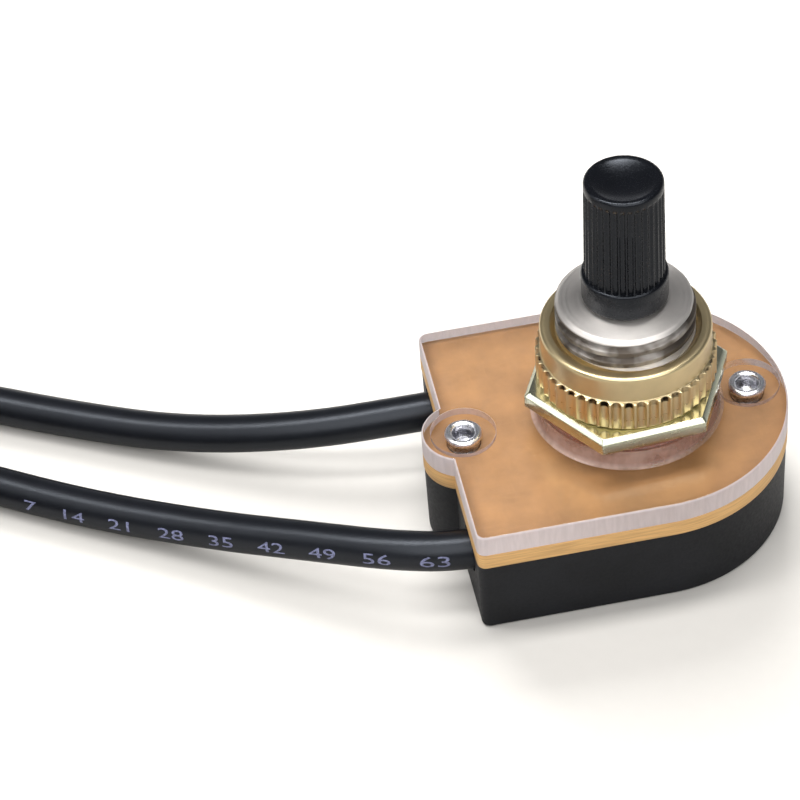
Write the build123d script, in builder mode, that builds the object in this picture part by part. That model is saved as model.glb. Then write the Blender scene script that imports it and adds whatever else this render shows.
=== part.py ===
"""Rotary lamp switch: a D shaped cup under a fibre plate and a clear cover, with a threaded bushing and two leads.

Millimetres. The origin is on the bushing's axis, in the plane that the switch stands on. +X points to the round
nose, the leads leave at the tail towards -X, and +Z runs up along the spindle.
"""
import math
import os

from build123d import *

os.makedirs("parts", exist_ok=True)

# Plan of the plates
plate_half_width = 10.55
plate_tail_x = -12.8
nose_centre_x = 0.63
plate_corner_radius = 0.6
ear_radius = 2.9
tail_rivet_x = -11.6
nose_rivet_x = 8.6

# Cup
housing_height = 5.95
housing_wall = 1.6
housing_draft = 0.5
housing_floor = 1.3
housing_edge_radius = 0.3
plate_overhang = 0.05
post_radius = 2.3
rib_width = 0.9
rib_length = 1.8
rib_height = 2.6

# Plates
fibre_thickness = 1.28
cover_thickness = 1.6
cover_edge_radius = 0.15
boss_wall = 1.54
boss_height = 1.7
boss_edge_radius = 0.25
boss_root_radius = 0.4
recess_radius = 2.3
recess_depth = 0.6

# Rivets
rivet_shank_radius = 1.15
rivet_hollow_radius = 0.78
rivet_hollow_depth = 1.4
rivet_bead_circle = 1.04
rivet_bead_radius = 0.28
rivet_head_radius = 1.85
rivet_head_height = 0.5
rivet_head_sink = 0.2

# Bushing and its nuts
thread_radius = 4.7625
thread_half_depth = 0.3125
bushing_reach = 9.82
bushing_chamfer = 0.3
bushing_flange_ledge = 0.64
bushing_flange_thickness = 0.9
bushing_flat_depth = 0.56
hex_across_flats = 12.7
hex_thickness = 1.3
hex_edge_chamfer = 0.3
hex_turn = 3.9
knurl_step = 0.33
knurl_height = 2.6
knurl_count = 46
knurl_groove_radius = 0.36
knurl_groove_depth = 0.28
knurl_foot_chamfer = 0.4
shoulder_height = 0.1
collar_wall = 1.06
collar_height = 1.95
collar_edge_radius = 0.3
ring_mouth_chamfer = 0.35

# Spindle, knob and rotor
spindle_radius = 1.6
spindle_flat = 1.1
spindle_in_knob = 7.0
tang_width = 2.2
knob_height = 9.75
knob_flange_radius = 2.95
knob_flange_height = 2.05
knob_flange_chamfer = 0.2
knob_ledge = 0.21
knob_taper = 0.09
knob_rim_height = 0.6
knob_rim_radius = 0.3
knob_rim_width = 0.4
knob_dish_depth = 0.45
flute_count = 34
flute_radius = 0.22
flute_depth = 0.14
rotor_flat = 3.0
rotor_corner_radius = 1.8
washer_radius = 2.9
washer_thickness = 0.4
strip_width = 2.4
strip_thickness = 0.3
strip_top_gap = 0.6

# Contact blades
blade_thickness = 0.3
blade_bend_radius = 0.8
blade_tail_x = -9.3
blade_knee_x = -6.6
blade_toe_x = -3.6
blade_heel_x = 3.2
blade_tip_length = 1.6
blade_tip_flare = 0.9
barrel_radius = 1.0
barrel_wall = 0.35
barrel_length = 2.4

# Clearances
thread_clearance = 0.05
bore_clearance = 0.05
plate_hole_clearance = 0.1
rivet_clearance = 0.05
press_clearance = 0.03
knob_gap = 0.4
rotor_gap = 0.05
rotor_floor_gap = 0.2
blade_gap = 0.1
blade_top_gap = 0.2
lead_clearance = 0.1
rib_clearance = 0.05
crimp_clearance = 0.05
barrel_wall_gap = 0.8
tang_floor_gap = 0.1

# Leads, and the single turn that stores their length
lead_radius = 1.4
lead_tail_gap = 0.2
strand_radius = 0.6
bare_length = 12.7
coil_centre_x = -64.0
coil_centre_y = 4.15
coil_start_radius = 15.5
coil_step = 3.1
coil_section_round = 1.3
tie_thickness = 0.35
tie_arc = 10.0
tie_angle = 59.0
bare_start_angle = 75.0
bare_gap = 0.2

# Levels that follow from the heights
cover_bottom = housing_height + fibre_thickness
cover_top = cover_bottom + cover_thickness
boss_top = cover_top + boss_height
hex_top = boss_top + hex_thickness
knurl_top = hex_top + knurl_height
ring_top = knurl_top + collar_height
bushing_top = cover_top + bushing_reach
knob_base = bushing_top + knob_gap
knob_top = knob_base + knob_height
recess_floor = cover_top - recess_depth
flange_bottom = housing_height - bushing_flange_thickness
washer_bottom = flange_bottom - washer_thickness
rotor_top = washer_bottom - rotor_gap
rotor_bottom = housing_floor + rotor_floor_gap
lead_z = housing_height - lead_clearance - lead_radius

# Radii and places that follow from the fits
wall_inset = plate_overhang + housing_wall
bushing_bore = spindle_radius + bore_clearance
thread_pitch_radius = thread_radius - thread_half_depth
nut_bore = thread_radius + thread_clearance
collar_radius = nut_bore + collar_wall
knurl_radius = collar_radius + knurl_step
plate_hole_radius = thread_radius + plate_hole_clearance
boss_radius = plate_hole_radius + boss_wall
bushing_flange_radius = plate_hole_radius + bushing_flange_ledge
bushing_flat = thread_radius - bushing_flat_depth
knob_foot_radius = knob_flange_radius - knob_ledge
knob_top_radius = knob_foot_radius - knob_taper
knob_dish_radius = knob_top_radius - knob_rim_width
rivet_hole_radius = rivet_shank_radius + rivet_clearance
rotor_reach = rotor_flat * math.sqrt(2) - rotor_corner_radius * (math.sqrt(2) - 1)
lead_y = plate_half_width - wall_inset - barrel_wall_gap - barrel_radius

rivet_places = ((tail_rivet_x, 0), (nose_rivet_x, 0))
lead_sides = {"rear": 1, "front": -1}


def plate_outline(inset, ear=True):
    """D outline with a straight tail and a round nose, drawn in by inset, with the ear round the tail rivet."""
    half = plate_half_width - inset
    tail = plate_tail_x + inset
    with BuildSketch() as outline:
        with BuildLine():
            Polyline((nose_centre_x, half), (tail, half), (tail, -half), (nose_centre_x, -half))
            ThreePointArc((nose_centre_x, -half), (nose_centre_x + half, 0), (nose_centre_x, half))
        make_face()
        fillet(outline.vertices().group_by(Axis.X)[0], plate_corner_radius)
        if ear:
            with Locations((tail_rivet_x, 0)):
                Circle(ear_radius - inset)
    return outline.sketch


# Moulded cup with rivet posts, blade ribs and a notch for each lead
blade_tail_y = lead_y - barrel_radius
with BuildPart() as housing:
    with BuildSketch(Plane.XY.offset(housing_height)):
        add(plate_outline(plate_overhang))
    extrude(amount=-housing_height, taper=housing_draft)
    fillet(housing.edges().group_by(Axis.Z)[0], housing_edge_radius)
    with BuildSketch(Plane.XY.offset(housing_height)):
        add(plate_outline(wall_inset, ear=False))
        with Locations(*rivet_places):
            Circle(post_radius, mode=Mode.SUBTRACT)
    extrude(amount=housing_floor - housing_height, mode=Mode.SUBTRACT)
    rib_y = blade_tail_y - rib_clearance - rib_width / 2
    with BuildSketch(Plane.XY.offset(housing_floor)):
        with Locations(*[(blade_tail_x + barrel_length / 2, side * rib_y) for side in lead_sides.values()]):
            Rectangle(rib_length, rib_width)
    extrude(amount=rib_height)
    with Locations(*rivet_places):
        Cylinder(rivet_hole_radius, housing_height, align=(Align.CENTER, Align.CENTER, Align.MIN), mode=Mode.SUBTRACT)
        Cylinder(rivet_head_radius + rivet_clearance, rivet_head_sink + rivet_head_height,
                 align=(Align.CENTER, Align.CENTER, Align.MIN), mode=Mode.SUBTRACT)
    notch_radius = lead_radius + lead_clearance
    with BuildSketch(Plane.YZ.offset(plate_tail_x)):
        for side in lead_sides.values():
            with Locations((side * lead_y, lead_z)):
                Circle(notch_radius)
                Rectangle(2 * notch_radius, housing_height - lead_z, align=(Align.CENTER, Align.MIN))
    extrude(amount=2 * wall_inset, mode=Mode.SUBTRACT)
housing.part.label = "housing"
export_step(housing.part, "parts/housing.step")

# Fibre plate that closes the cup, with two flats in its hole against turning
with BuildPart() as fibre_plate:
    with BuildSketch(Plane.XY.offset(housing_height)):
        add(plate_outline(0))
        with Locations(*rivet_places):
            Circle(rivet_hole_radius, mode=Mode.SUBTRACT)
        with BuildSketch(mode=Mode.SUBTRACT):
            Circle(plate_hole_radius)
            Rectangle(2 * (bushing_flat + plate_hole_clearance), 2 * plate_hole_radius, mode=Mode.INTERSECT)
    extrude(amount=fibre_thickness)
fibre_plate.part.label = "fibre_plate"
export_step(fibre_plate.part, "parts/fibre_plate.step")

# Clear cover with a boss under the nut and a round recess at each rivet
with BuildPart() as cover_plate:
    with BuildSketch(Plane.XY.offset(cover_bottom)):
        add(plate_outline(0))
    extrude(amount=cover_thickness)
    fillet(cover_plate.faces().sort_by(Axis.Z)[-1].edges(), cover_edge_radius)
    with BuildSketch(Plane.XY.offset(cover_top)):
        Circle(boss_radius)
    extrude(amount=boss_height)
    boss_rings = cover_plate.edges().filter_by(GeomType.CIRCLE).filter_by(
        lambda ring: math.isclose(ring.radius, boss_radius, abs_tol=1e-4))
    fillet(boss_rings.sort_by(Axis.Z)[-1], boss_edge_radius)
    fillet(boss_rings.sort_by(Axis.Z)[0], boss_root_radius)
    with BuildSketch(Plane.XY.offset(recess_floor)):
        with Locations(*rivet_places):
            Circle(recess_radius)
    extrude(amount=recess_depth, mode=Mode.SUBTRACT)
    with BuildSketch(Plane.XY.offset(cover_bottom)):
        Circle(plate_hole_radius)
        with Locations(*rivet_places):
            Circle(rivet_hole_radius)
    extrude(amount=cover_thickness + boss_height, mode=Mode.SUBTRACT)
cover_plate.part.label = "cover_plate"
export_step(cover_plate.part, "parts/cover_plate.step")

# Two tubular rivets, headed in the cup's base and rolled over in the cover's recesses
with BuildPart() as rivets:
    for place_x, place_y in rivet_places:
        with BuildSketch(Plane((place_x, place_y, 0), x_dir=(1, 0, 0), z_dir=(0, -1, 0))):
            bead_level = recess_floor + rivet_bead_radius
            with Locations((0, rivet_head_sink)):
                Rectangle(rivet_head_radius, rivet_head_height, align=(Align.MIN, Align.MIN))
                Rectangle(rivet_shank_radius, bead_level - rivet_head_sink, align=(Align.MIN, Align.MIN))
            with Locations((rivet_bead_circle, bead_level)):
                Circle(rivet_bead_radius)
            with Locations((0, bead_level + rivet_bead_radius)):
                Rectangle(rivet_hollow_radius, rivet_hollow_depth, align=(Align.MIN, Align.MAX), mode=Mode.SUBTRACT)
        revolve(axis=Axis((place_x, place_y, 0), (0, 0, 1)))
rivets.part.label = "rivets"
export_step(rivets.part, "parts/rivets.step")

# Bushing with a flange under the fibre plate and two flats through it. Its thread is drawn as plain cylinders: at
# the crests in the plates and at the free end, and at the pitch radius where the nuts' threads mesh with it
with BuildPart() as bushing:
    with BuildSketch(Plane.XZ):
        with BuildLine():
            Polyline((bushing_bore, flange_bottom), (bushing_flange_radius, flange_bottom),
                     (bushing_flange_radius, housing_height), (thread_radius, housing_height),
                     (thread_radius, boss_top), (thread_pitch_radius, boss_top), (thread_pitch_radius, ring_top),
                     (thread_radius, ring_top), (thread_radius, bushing_top - bushing_chamfer),
                     (thread_radius - bushing_chamfer, bushing_top), (bushing_bore, bushing_top), close=True)
        make_face()
    revolve(axis=Axis.Z)
    with BuildSketch(Plane.XY.offset(housing_height)):
        Circle(thread_radius)
        Rectangle(2 * bushing_flat, 2 * thread_radius, mode=Mode.SUBTRACT)
    extrude(amount=fibre_thickness, mode=Mode.SUBTRACT)
bushing.part.label = "bushing"
export_step(bushing.part, "parts/bushing.step")

# Thin hex nut on the boss
with BuildPart() as hex_nut:
    with BuildSketch(Plane.XY.offset(boss_top)):
        RegularPolygon(hex_across_flats / 2, 6, major_radius=False, rotation=hex_turn)
        Circle(nut_bore, mode=Mode.SUBTRACT)
    extrude(amount=hex_thickness)
    chamfer(hex_nut.faces().sort_by(Axis.Z)[-1].outer_wire().edges(), hex_edge_chamfer)
hex_nut.part.label = "hex_nut"
export_step(hex_nut.part, "parts/hex_nut.step")

# Ring nut: a smooth collar over a band of upright grooves that run out through its shoulder
with BuildPart() as ring_nut:
    with BuildSketch(Plane.XZ):
        with BuildLine():
            Polyline((collar_radius - collar_edge_radius, ring_top), (nut_bore + ring_mouth_chamfer, ring_top),
                     (nut_bore, ring_top - ring_mouth_chamfer), (nut_bore, hex_top),
                     (knurl_radius - knurl_foot_chamfer, hex_top), (knurl_radius, hex_top + knurl_foot_chamfer),
                     (knurl_radius, knurl_top - shoulder_height), (collar_radius, knurl_top),
                     (collar_radius, ring_top - collar_edge_radius))
            RadiusArc((collar_radius, ring_top - collar_edge_radius),
                      (collar_radius - collar_edge_radius, ring_top), -collar_edge_radius)
        make_face()
    revolve(axis=Axis.Z)
    groove_circle = knurl_radius - knurl_groove_depth + knurl_groove_radius
    with BuildSketch(Plane.XY.offset(hex_top)):
        with PolarLocations(groove_circle, knurl_count):
            Circle(knurl_groove_radius)
    extrude(amount=knurl_height, mode=Mode.SUBTRACT)
ring_nut.part.label = "ring_nut"
export_step(ring_nut.part, "parts/ring_nut.step")

# Spindle with a flat for the knob and a square tang for the rotor
with BuildPart() as spindle:
    with BuildSketch(Plane.XY.offset(rotor_top)):
        Circle(spindle_radius)
    extrude(amount=knob_base + spindle_in_knob - rotor_top)
    with BuildSketch(Plane.XY.offset(knob_base)):
        with Locations((spindle_flat, 0)):
            Rectangle(spindle_radius, 2 * spindle_radius, align=(Align.MIN, Align.CENTER))
    extrude(amount=spindle_in_knob, mode=Mode.SUBTRACT)
    with BuildSketch(Plane.XY.offset(rotor_top)):
        Rectangle(tang_width, tang_width)
    extrude(amount=rotor_bottom + strip_thickness + tang_floor_gap - rotor_top)
spindle.part.label = "spindle"
export_step(spindle.part, "parts/spindle.step")

# Knob: plain foot, fluted and slightly tapered body, plain rim round a dished top
with BuildPart() as knob:
    body_bottom = knob_base + knob_flange_height
    with BuildSketch(Plane.XZ):
        with BuildLine():
            Polyline((0, knob_top - knob_dish_depth), (0, knob_base), (knob_flange_radius, knob_base),
                     (knob_flange_radius, body_bottom - knob_flange_chamfer),
                     (knob_flange_radius - knob_flange_chamfer, body_bottom), (knob_foot_radius, body_bottom),
                     (knob_top_radius, knob_top - knob_rim_radius))
            RadiusArc((knob_top_radius, knob_top - knob_rim_radius),
                      (knob_top_radius - knob_rim_radius, knob_top), -knob_rim_radius)
            Line((knob_top_radius - knob_rim_radius, knob_top), (knob_dish_radius, knob_top))
            Line((knob_dish_radius, knob_top), (0, knob_top - knob_dish_depth))
        make_face()
    revolve(axis=Axis.Z)
    with BuildSketch(Plane.XY.offset(knob_base)):
        Circle(spindle_radius + press_clearance)
        with Locations((spindle_flat + press_clearance, 0)):
            Rectangle(2 * spindle_radius, 4 * spindle_radius, align=(Align.MIN, Align.CENTER), mode=Mode.SUBTRACT)
    extrude(amount=spindle_in_knob + press_clearance, mode=Mode.SUBTRACT)
    flute_length = knob_height - knob_flange_height - knob_rim_height
    taper_rate = (knob_foot_radius - knob_top_radius) / (knob_height - knob_flange_height - knob_rim_radius)
    flute_lean = math.degrees(math.atan(taper_rate))
    with Locations((0, 0, body_bottom)):
        with PolarLocations(knob_foot_radius - flute_depth + flute_radius, flute_count):
            Cylinder(flute_radius, flute_length, rotation=(0, -flute_lean, 0),
                     align=(Align.CENTER, Align.CENTER, Align.MIN), mode=Mode.SUBTRACT)
knob.part.label = "knob"
export_step(knob.part, "parts/knob.step")

# Bridge strip folded under the rotor and up two of its flats
strip_height = rotor_top - strip_top_gap - rotor_bottom
with BuildPart() as bridge_strip:
    with BuildSketch(Plane.YZ.offset(-strip_width / 2)):
        with Locations((0, rotor_bottom)):
            Rectangle(2 * rotor_flat, strip_height, align=(Align.CENTER, Align.MIN))
        with Locations((0, rotor_bottom + strip_thickness)):
            Rectangle(2 * (rotor_flat - strip_thickness), strip_height, align=(Align.CENTER, Align.MIN),
                      mode=Mode.SUBTRACT)
    extrude(amount=strip_width)
bridge_strip.part.label = "bridge_strip"
export_step(bridge_strip.part, "parts/bridge_strip.step")

# Rotor: a square cam with rounded corners, let out for the strip and the spindle's tang
with BuildPart() as rotor:
    with BuildSketch(Plane.XY.offset(rotor_bottom)):
        RectangleRounded(2 * rotor_flat, 2 * rotor_flat, rotor_corner_radius)
        Rectangle(tang_width + 2 * press_clearance, tang_width + 2 * press_clearance, mode=Mode.SUBTRACT)
    extrude(amount=rotor_top - rotor_bottom)
    add(bridge_strip.part, mode=Mode.SUBTRACT)
rotor.part.label = "rotor"
export_step(rotor.part, "parts/rotor.step")

# Fibre washer between the rotor and the bushing's flange
with BuildPart() as thrust_washer:
    with BuildSketch(Plane.XY.offset(washer_bottom)):
        Circle(washer_radius)
        Circle(bushing_bore, mode=Mode.SUBTRACT)
    extrude(amount=washer_thickness)
thrust_washer.part.label = "thrust_washer"
export_step(thrust_washer.part, "parts/thrust_washer.step")

# Contact blades: leaf springs bent from strip, held back to where the rotor's corners pass, with a crimp barrel
blade_face_y = rotor_reach + blade_gap
for name, side in lead_sides.items():
    with BuildPart() as contact_blade:
        with BuildSketch(Plane.XY.offset(housing_floor)):
            with BuildLine():
                FilletPolyline(
                    (blade_tail_x, side * blade_tail_y),
                    (blade_knee_x, side * blade_tail_y),
                    (blade_toe_x, side * blade_face_y),
                    (blade_heel_x, side * blade_face_y),
                    (blade_heel_x + blade_tip_length, side * (blade_face_y + blade_tip_flare)),
                    radius=blade_bend_radius,
                )
                offset(amount=blade_thickness, side=Side.LEFT if side > 0 else Side.RIGHT)
            make_face()
        extrude(amount=rotor_top - blade_top_gap - housing_floor)
        with BuildSketch(Plane.YZ.offset(blade_tail_x)):
            with Locations((side * lead_y, lead_z)):
                Circle(barrel_radius)
                Circle(barrel_radius - barrel_wall, mode=Mode.SUBTRACT)
        extrude(amount=barrel_length)
    contact_blade.part.label = "contact_blade_" + name
    export_step(contact_blade.part, f"parts/contact_blade_{name}.step")

# Stripped strands in the crimp barrels
lead_start_x = blade_tail_x - lead_tail_gap
with BuildPart() as lead_strands:
    with BuildSketch(Plane.YZ.offset(lead_start_x)):
        for side in lead_sides.values():
            with Locations((side * lead_y, lead_z)):
                Circle(barrel_radius - barrel_wall - crimp_clearance)
    extrude(amount=lead_tail_gap + barrel_length)
lead_strands.part.label = "lead_strands"
export_step(lead_strands.part, "parts/lead_strands.step")

# Leads from the crimps, down to the standing plane and on to the coil
lead_routes = {
    "rear": [
        (lead_start_x, lead_y, lead_z),
        (-14.2, lead_y, lead_z),
        (-22.0, 8.5, 3.25),
        (-30.5, 11.8, 1.85),
        (-38.5, 16.1, lead_radius),
        (-46.5, 20.6, lead_radius),
        (-54.5, 23.3, 1.6),
        (-62.0, 22.6, 2.6),
        (-68.6, 19.1, 4.35),
    ],
    "front": [
        (lead_start_x, -lead_y, lead_z),
        (-13.4, -lead_y, lead_z),
        (-17.6, -5.7, 4.15),
        (-23.2, -2.5, 3.3),
        (-30.0, 1.55, 2.1),
        (-38.5, 6.6, lead_radius),
        (-47.3, 12.4, lead_radius),
        (-55.8, 17.3, lead_radius),
    ],
}
arc_share = 0.45


def corner_radii(points):
    """Radius for each inner point: a share of the shorter run, over the tangent of half the turn."""
    radii = []
    for before, corner, after in zip(points, points[1:], points[2:]):
        run_in = Vector(*corner) - Vector(*before)
        run_out = Vector(*after) - Vector(*corner)
        half_turn = math.radians(run_in.get_angle(run_out) / 2)
        radii.append(arc_share * min(run_in.length, run_out.length) / math.tan(half_turn))
    return radii


for name, points in lead_routes.items():
    with BuildPart() as lead:
        with BuildLine() as route:
            FilletPolyline(*points, radius=corner_radii(points))
        path = route.wire()
        with BuildSketch(Plane(path @ 0, z_dir=path % 0)):
            Circle(lead_radius)
        sweep(path=path)
    lead.part.label = "lead_" + name
    export_step(lead.part, f"parts/lead_{name}.step")


def coil_plane(angle):
    """Upright plane through the coil's axis, with its x axis pointing outwards at that angle from +X."""
    outwards = Vector(1, 0, 0).rotate(Axis.Z, angle)
    return Plane((coil_centre_x, coil_centre_y, 0), x_dir=outwards, z_dir=outwards.cross(Vector(0, 0, 1)))


# Tie round the coil, and the coil that it holds: both leads, one on the other, in one turn that ends inside its start
coil_axis = Axis((coil_centre_x, coil_centre_y, 0), (0, 0, 1))
coil_outer = coil_start_radius + lead_radius
coil_inner = coil_start_radius - coil_step - lead_radius
coil_height = tie_thickness + 4 * lead_radius
coil_middle = (coil_inner + coil_outer) / 2
coil_width = coil_outer - coil_inner
with BuildPart() as coil_tie:
    with BuildSketch(coil_plane(tie_angle)):
        with Locations((coil_middle, (coil_height + tie_thickness) / 2)):
            RectangleRounded(coil_width + 2 * tie_thickness, coil_height + tie_thickness, coil_section_round)
        with Locations((coil_middle, (coil_height + tie_thickness) / 2)):
            RectangleRounded(coil_width, coil_height - tie_thickness, coil_section_round - tie_thickness,
                             mode=Mode.SUBTRACT)
    revolve(axis=coil_axis, revolution_arc=tie_arc)
coil_tie.part.label = "coil_tie"
export_step(coil_tie.part, "parts/coil_tie.step")

with BuildPart() as lead_coil:
    with BuildSketch(coil_plane(0)):
        with Locations((coil_middle, coil_height / 2)):
            RectangleRounded(coil_width, coil_height, coil_section_round)
    revolve(axis=coil_axis)
    add(coil_tie.part, mode=Mode.SUBTRACT)
lead_coil.part.label = "lead_coil"
export_step(lead_coil.part, "parts/lead_coil.step")

# Stripped far ends, lying against the inside of the coil, one on the other
bare_circle = coil_inner - bare_gap - strand_radius
with BuildPart() as bare_ends:
    for level in (lead_radius, lead_radius + 2 * strand_radius + bare_gap):
        with BuildSketch(coil_plane(bare_start_angle)):
            with Locations((bare_circle, level)):
                Circle(strand_radius)
        revolve(axis=coil_axis, revolution_arc=math.degrees(bare_length / bare_circle))
bare_ends.part.label = "bare_ends"
export_step(bare_ends.part, "parts/bare_ends.step")
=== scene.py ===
"""Rotary lamp switch with two leads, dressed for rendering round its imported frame.

Every size is in metres in the frame's own axes: the bushing stands on Z, the leads leave towards -X.
"""

import math

import bmesh
import bpy
import numpy as np
from bpy.props import FloatProperty, FloatVectorProperty, IntProperty, PointerProperty, StringProperty
from mathutils import Matrix, Vector


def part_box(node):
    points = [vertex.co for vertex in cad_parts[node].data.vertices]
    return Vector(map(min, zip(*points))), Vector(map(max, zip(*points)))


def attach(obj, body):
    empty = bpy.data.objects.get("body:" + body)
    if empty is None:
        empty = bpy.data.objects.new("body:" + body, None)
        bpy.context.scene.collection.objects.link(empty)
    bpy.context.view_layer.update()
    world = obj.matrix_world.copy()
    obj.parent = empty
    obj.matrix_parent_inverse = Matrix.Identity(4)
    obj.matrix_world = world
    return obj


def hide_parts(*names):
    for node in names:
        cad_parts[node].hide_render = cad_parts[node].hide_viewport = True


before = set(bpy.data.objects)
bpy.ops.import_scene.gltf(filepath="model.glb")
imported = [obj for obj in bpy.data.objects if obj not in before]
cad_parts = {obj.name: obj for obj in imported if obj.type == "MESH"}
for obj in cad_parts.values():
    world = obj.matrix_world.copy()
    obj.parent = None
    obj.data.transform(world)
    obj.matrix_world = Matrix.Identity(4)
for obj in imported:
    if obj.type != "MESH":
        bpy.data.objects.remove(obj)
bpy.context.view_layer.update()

bl_info = {
    "name": "Rotary lamp switch",
    "version": (1, 0, 0),
    "blender": (4, 5, 0),
    "location": "View3D > Sidebar > Switch",
    "description": "Builds the plates, nuts, knob and leads of a rotary lamp switch, with their finishes",
    "category": "Add Mesh",
}

MM = 0.001
TURN = 2 * np.pi
QUARTER = np.pi / 2
ARC_STEPS = 5                       # straight steps in a rounded corner of a section
CIRCLE_STEPS = 96                   # straight steps round a hole
SHARP_ANGLE = math.radians(38)      # faces that meet more steeply keep a sharp edge between them
GRID_WELD = 1e-4 * MM               # points of a grid that are one point lie within this
CUT_WELD = 2e-3 * MM                # slivers left by a cut are narrower than this
TINY = 1e-6                         # keeps a divisor off zero
COOL_SHEEN = (0.84, 0.9, 1.0, 1.0)  # tint of the gloss on black plastic


# Heights that come from the frame

def low(node):
    """Height of a node's lowest point."""
    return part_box(node)[0].z


def high(node):
    """Height of a node's highest point."""
    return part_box(node)[1].z


# Settings

def srgb(red, green, blue):
    """Scene-linear values of an eight bit screen colour."""
    level = np.array([red, green, blue]) / 255.0
    linear = np.where(level <= 0.04045, level / 12.92, ((level + 0.055) / 1.055) ** 2.4)
    return tuple(linear.tolist())


def length(name, description, millimetres):
    """A length property given in millimetres."""
    return FloatProperty(name=name, description=description, default=millimetres * MM, unit="LENGTH",
                         precision=5)


def angle(name, description, degrees):
    """An angle property given in degrees."""
    return FloatProperty(name=name, description=description, default=math.radians(degrees), unit="ROTATION")


def count(name, description, number):
    """A whole number property."""
    return IntProperty(name=name, description=description, default=number, min=3)


def factor(name, description, number):
    """A plain number property."""
    return FloatProperty(name=name, description=description, default=number, min=0.0)


def power(name, description, watts):
    """A light's power property, in watts."""
    return FloatProperty(name=name, description=description, default=watts, min=0.0, unit="POWER")


def point(name, description, *millimetres):
    """A place property given in millimetres."""
    return FloatVectorProperty(name=name, description=description, subtype="TRANSLATION", size=3,
                               unit="LENGTH", default=tuple(value * MM for value in millimetres))


def colour(name, description, red, green, blue):
    """A colour property given as an eight bit screen colour."""
    return FloatVectorProperty(name=name, description=description, subtype="COLOR", size=3, min=0.0, max=1.0,
                               default=srgb(red, green, blue))


class PlateSizes(bpy.types.PropertyGroup):
    """Plan of the fibre plate and of the clear cover that lies on it."""
    half_width: length("Half width", "Half of the plate's width, and the radius of its nose",
                       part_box("fibre_plate")[1].y / MM)
    tail_x: length("Tail", "Place of the straight tail edge along X", -12.8)
    ear_x: length("Ear", "Place of the ear's centre along X", -11.6)
    corner_radius: length("Corner radius", "Rounding of the two tail corners", 0.6)
    hole_radius: length("Hole radius", "Radius of the bushing's hole", 4.8625)
    hole_flat: length("Hole flat", "Distance from the axis to each flat of the bushing's hole", 4.3025)
    edge_radius: length("Edge radius", "Rounding of the punched edges", 0.07)
    air_gap: length("Air gap", "Thin gap between the fibre and the clear cover", 0.03)
    rivet_hole: length("Rivet hole", "Radius of the two rivet holes", 1.2)
    cover_thickness: length("Cover thickness", "Thickness of the clear cover", 1.6)
    cover_edge: length("Cover edge", "Rounding of the cover's top edge", 0.15)
    boss_radius: length("Boss radius", "Radius of the cover's boss under the hex nut", 6.4025)
    boss_edge: length("Boss edge", "Rounding of the boss's top edge", 0.25)
    boss_root: length("Boss root", "Fillet at the boss's foot", 0.4)
    recess_radius: length("Recess radius", "Radius of the recess round each rivet", 2.3)
    recess_depth: length("Recess depth", "Depth of the recess round each rivet", 0.6)
    frost: length("Frost", "Room for the frosted skins on the cover's edge, boss, recesses and bore", 0.03)


class RivetSizes(bpy.types.PropertyGroup):
    """Section of the tubular rivets."""
    head_radius: length("Head radius", "Radius of the flat head in the cup's base", 1.85)
    head_height: length("Head height", "Thickness of the flat head", 0.5)
    shank_radius: length("Shank radius", "Radius of the shank", 1.15)
    bead_circle: length("Bead circle", "Radius of the middle of the rolled bead", 1.04)
    bead_radius: length("Bead radius", "Radius of the rolled bead's section", 0.28)
    hollow_depth: length("Hollow depth", "Depth of the hollow under the bead", 1.4)
    unevenness: length("Unevenness", "How far the rolled bead strays from round", 0.02)


class BushingSizes(bpy.types.PropertyGroup):
    """Section and thread of the bushing."""
    crest_radius: length("Crest radius", "Outer radius of the thread", 4.7625)
    thread_depth: length("Thread depth", "Depth of the thread from crest to root", 0.36)
    pitch: length("Pitch", "Rise of the thread in one turn", 25.4 / 27)
    chamfer: length("Chamfer", "Chamfer at the thread's free end", 0.3)
    flange_radius: length("Flange radius", "Radius of the flange under the fibre plate", 5.5025)
    flat: length("Flat", "Distance from the axis to each flat in the fibre plate", 4.2025)
    bore_radius: length("Bore radius", "Radius of the spindle's bore", 1.65)
    bore_chamfer: length("Bore chamfer", "Chamfer at the top of the spindle's bore", 0.3)
    thread_play: length("Thread play", "Radial gap between the thread and the nuts", 0.05)


class HexNutSizes(bpy.types.PropertyGroup):
    """Outline of the thin hex nut."""
    across_flats: length("Across flats", "Distance between two opposite flats", 12.7)
    turn: angle("Turn", "How far the nut is turned from having a flat towards +Y", 3.9)
    corner_radius: length("Corner radius", "Rounding of the six upright corners", 0.14)
    edge_bevel: length("Edge bevel", "Width of the bright bevel round the top", 0.3)
    mouth: length("Mouth", "Width of the chamfer at the top of the threaded bore", 0.3)
    mouth_depth: length("Mouth depth", "Depth of the chamfer at the top of the threaded bore", 0.2)
    seat_gap: length("Seat gap", "Thin gap under the nut", 0.02)


class RingNutSizes(bpy.types.PropertyGroup):
    """Section and grooves of the knurled ring nut."""
    knurl_radius: length("Knurl radius", "Outer radius of the grooved band", 6.2025)
    knurl_height: length("Knurl height", "Height of the grooved band", 2.6)
    foot_chamfer: length("Foot chamfer", "Chamfer under the grooved band", 0.4)
    groove_count: count("Grooves", "Number of grooves round the band", 46)
    groove_radius: length("Groove radius", "Radius of each groove's section", 0.36)
    groove_depth: length("Groove depth", "How deep each groove is cut", 0.28)
    shoulder: length("Shoulder", "Height of the slope between band and collar", 0.1)
    collar_radius: length("Collar radius", "Radius of the smooth collar", 5.8725)
    collar_edge: length("Collar edge", "Rounding of the collar's top edge", 0.3)
    mouth: length("Mouth", "Chamfer at the top of the threaded bore", 0.35)


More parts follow.
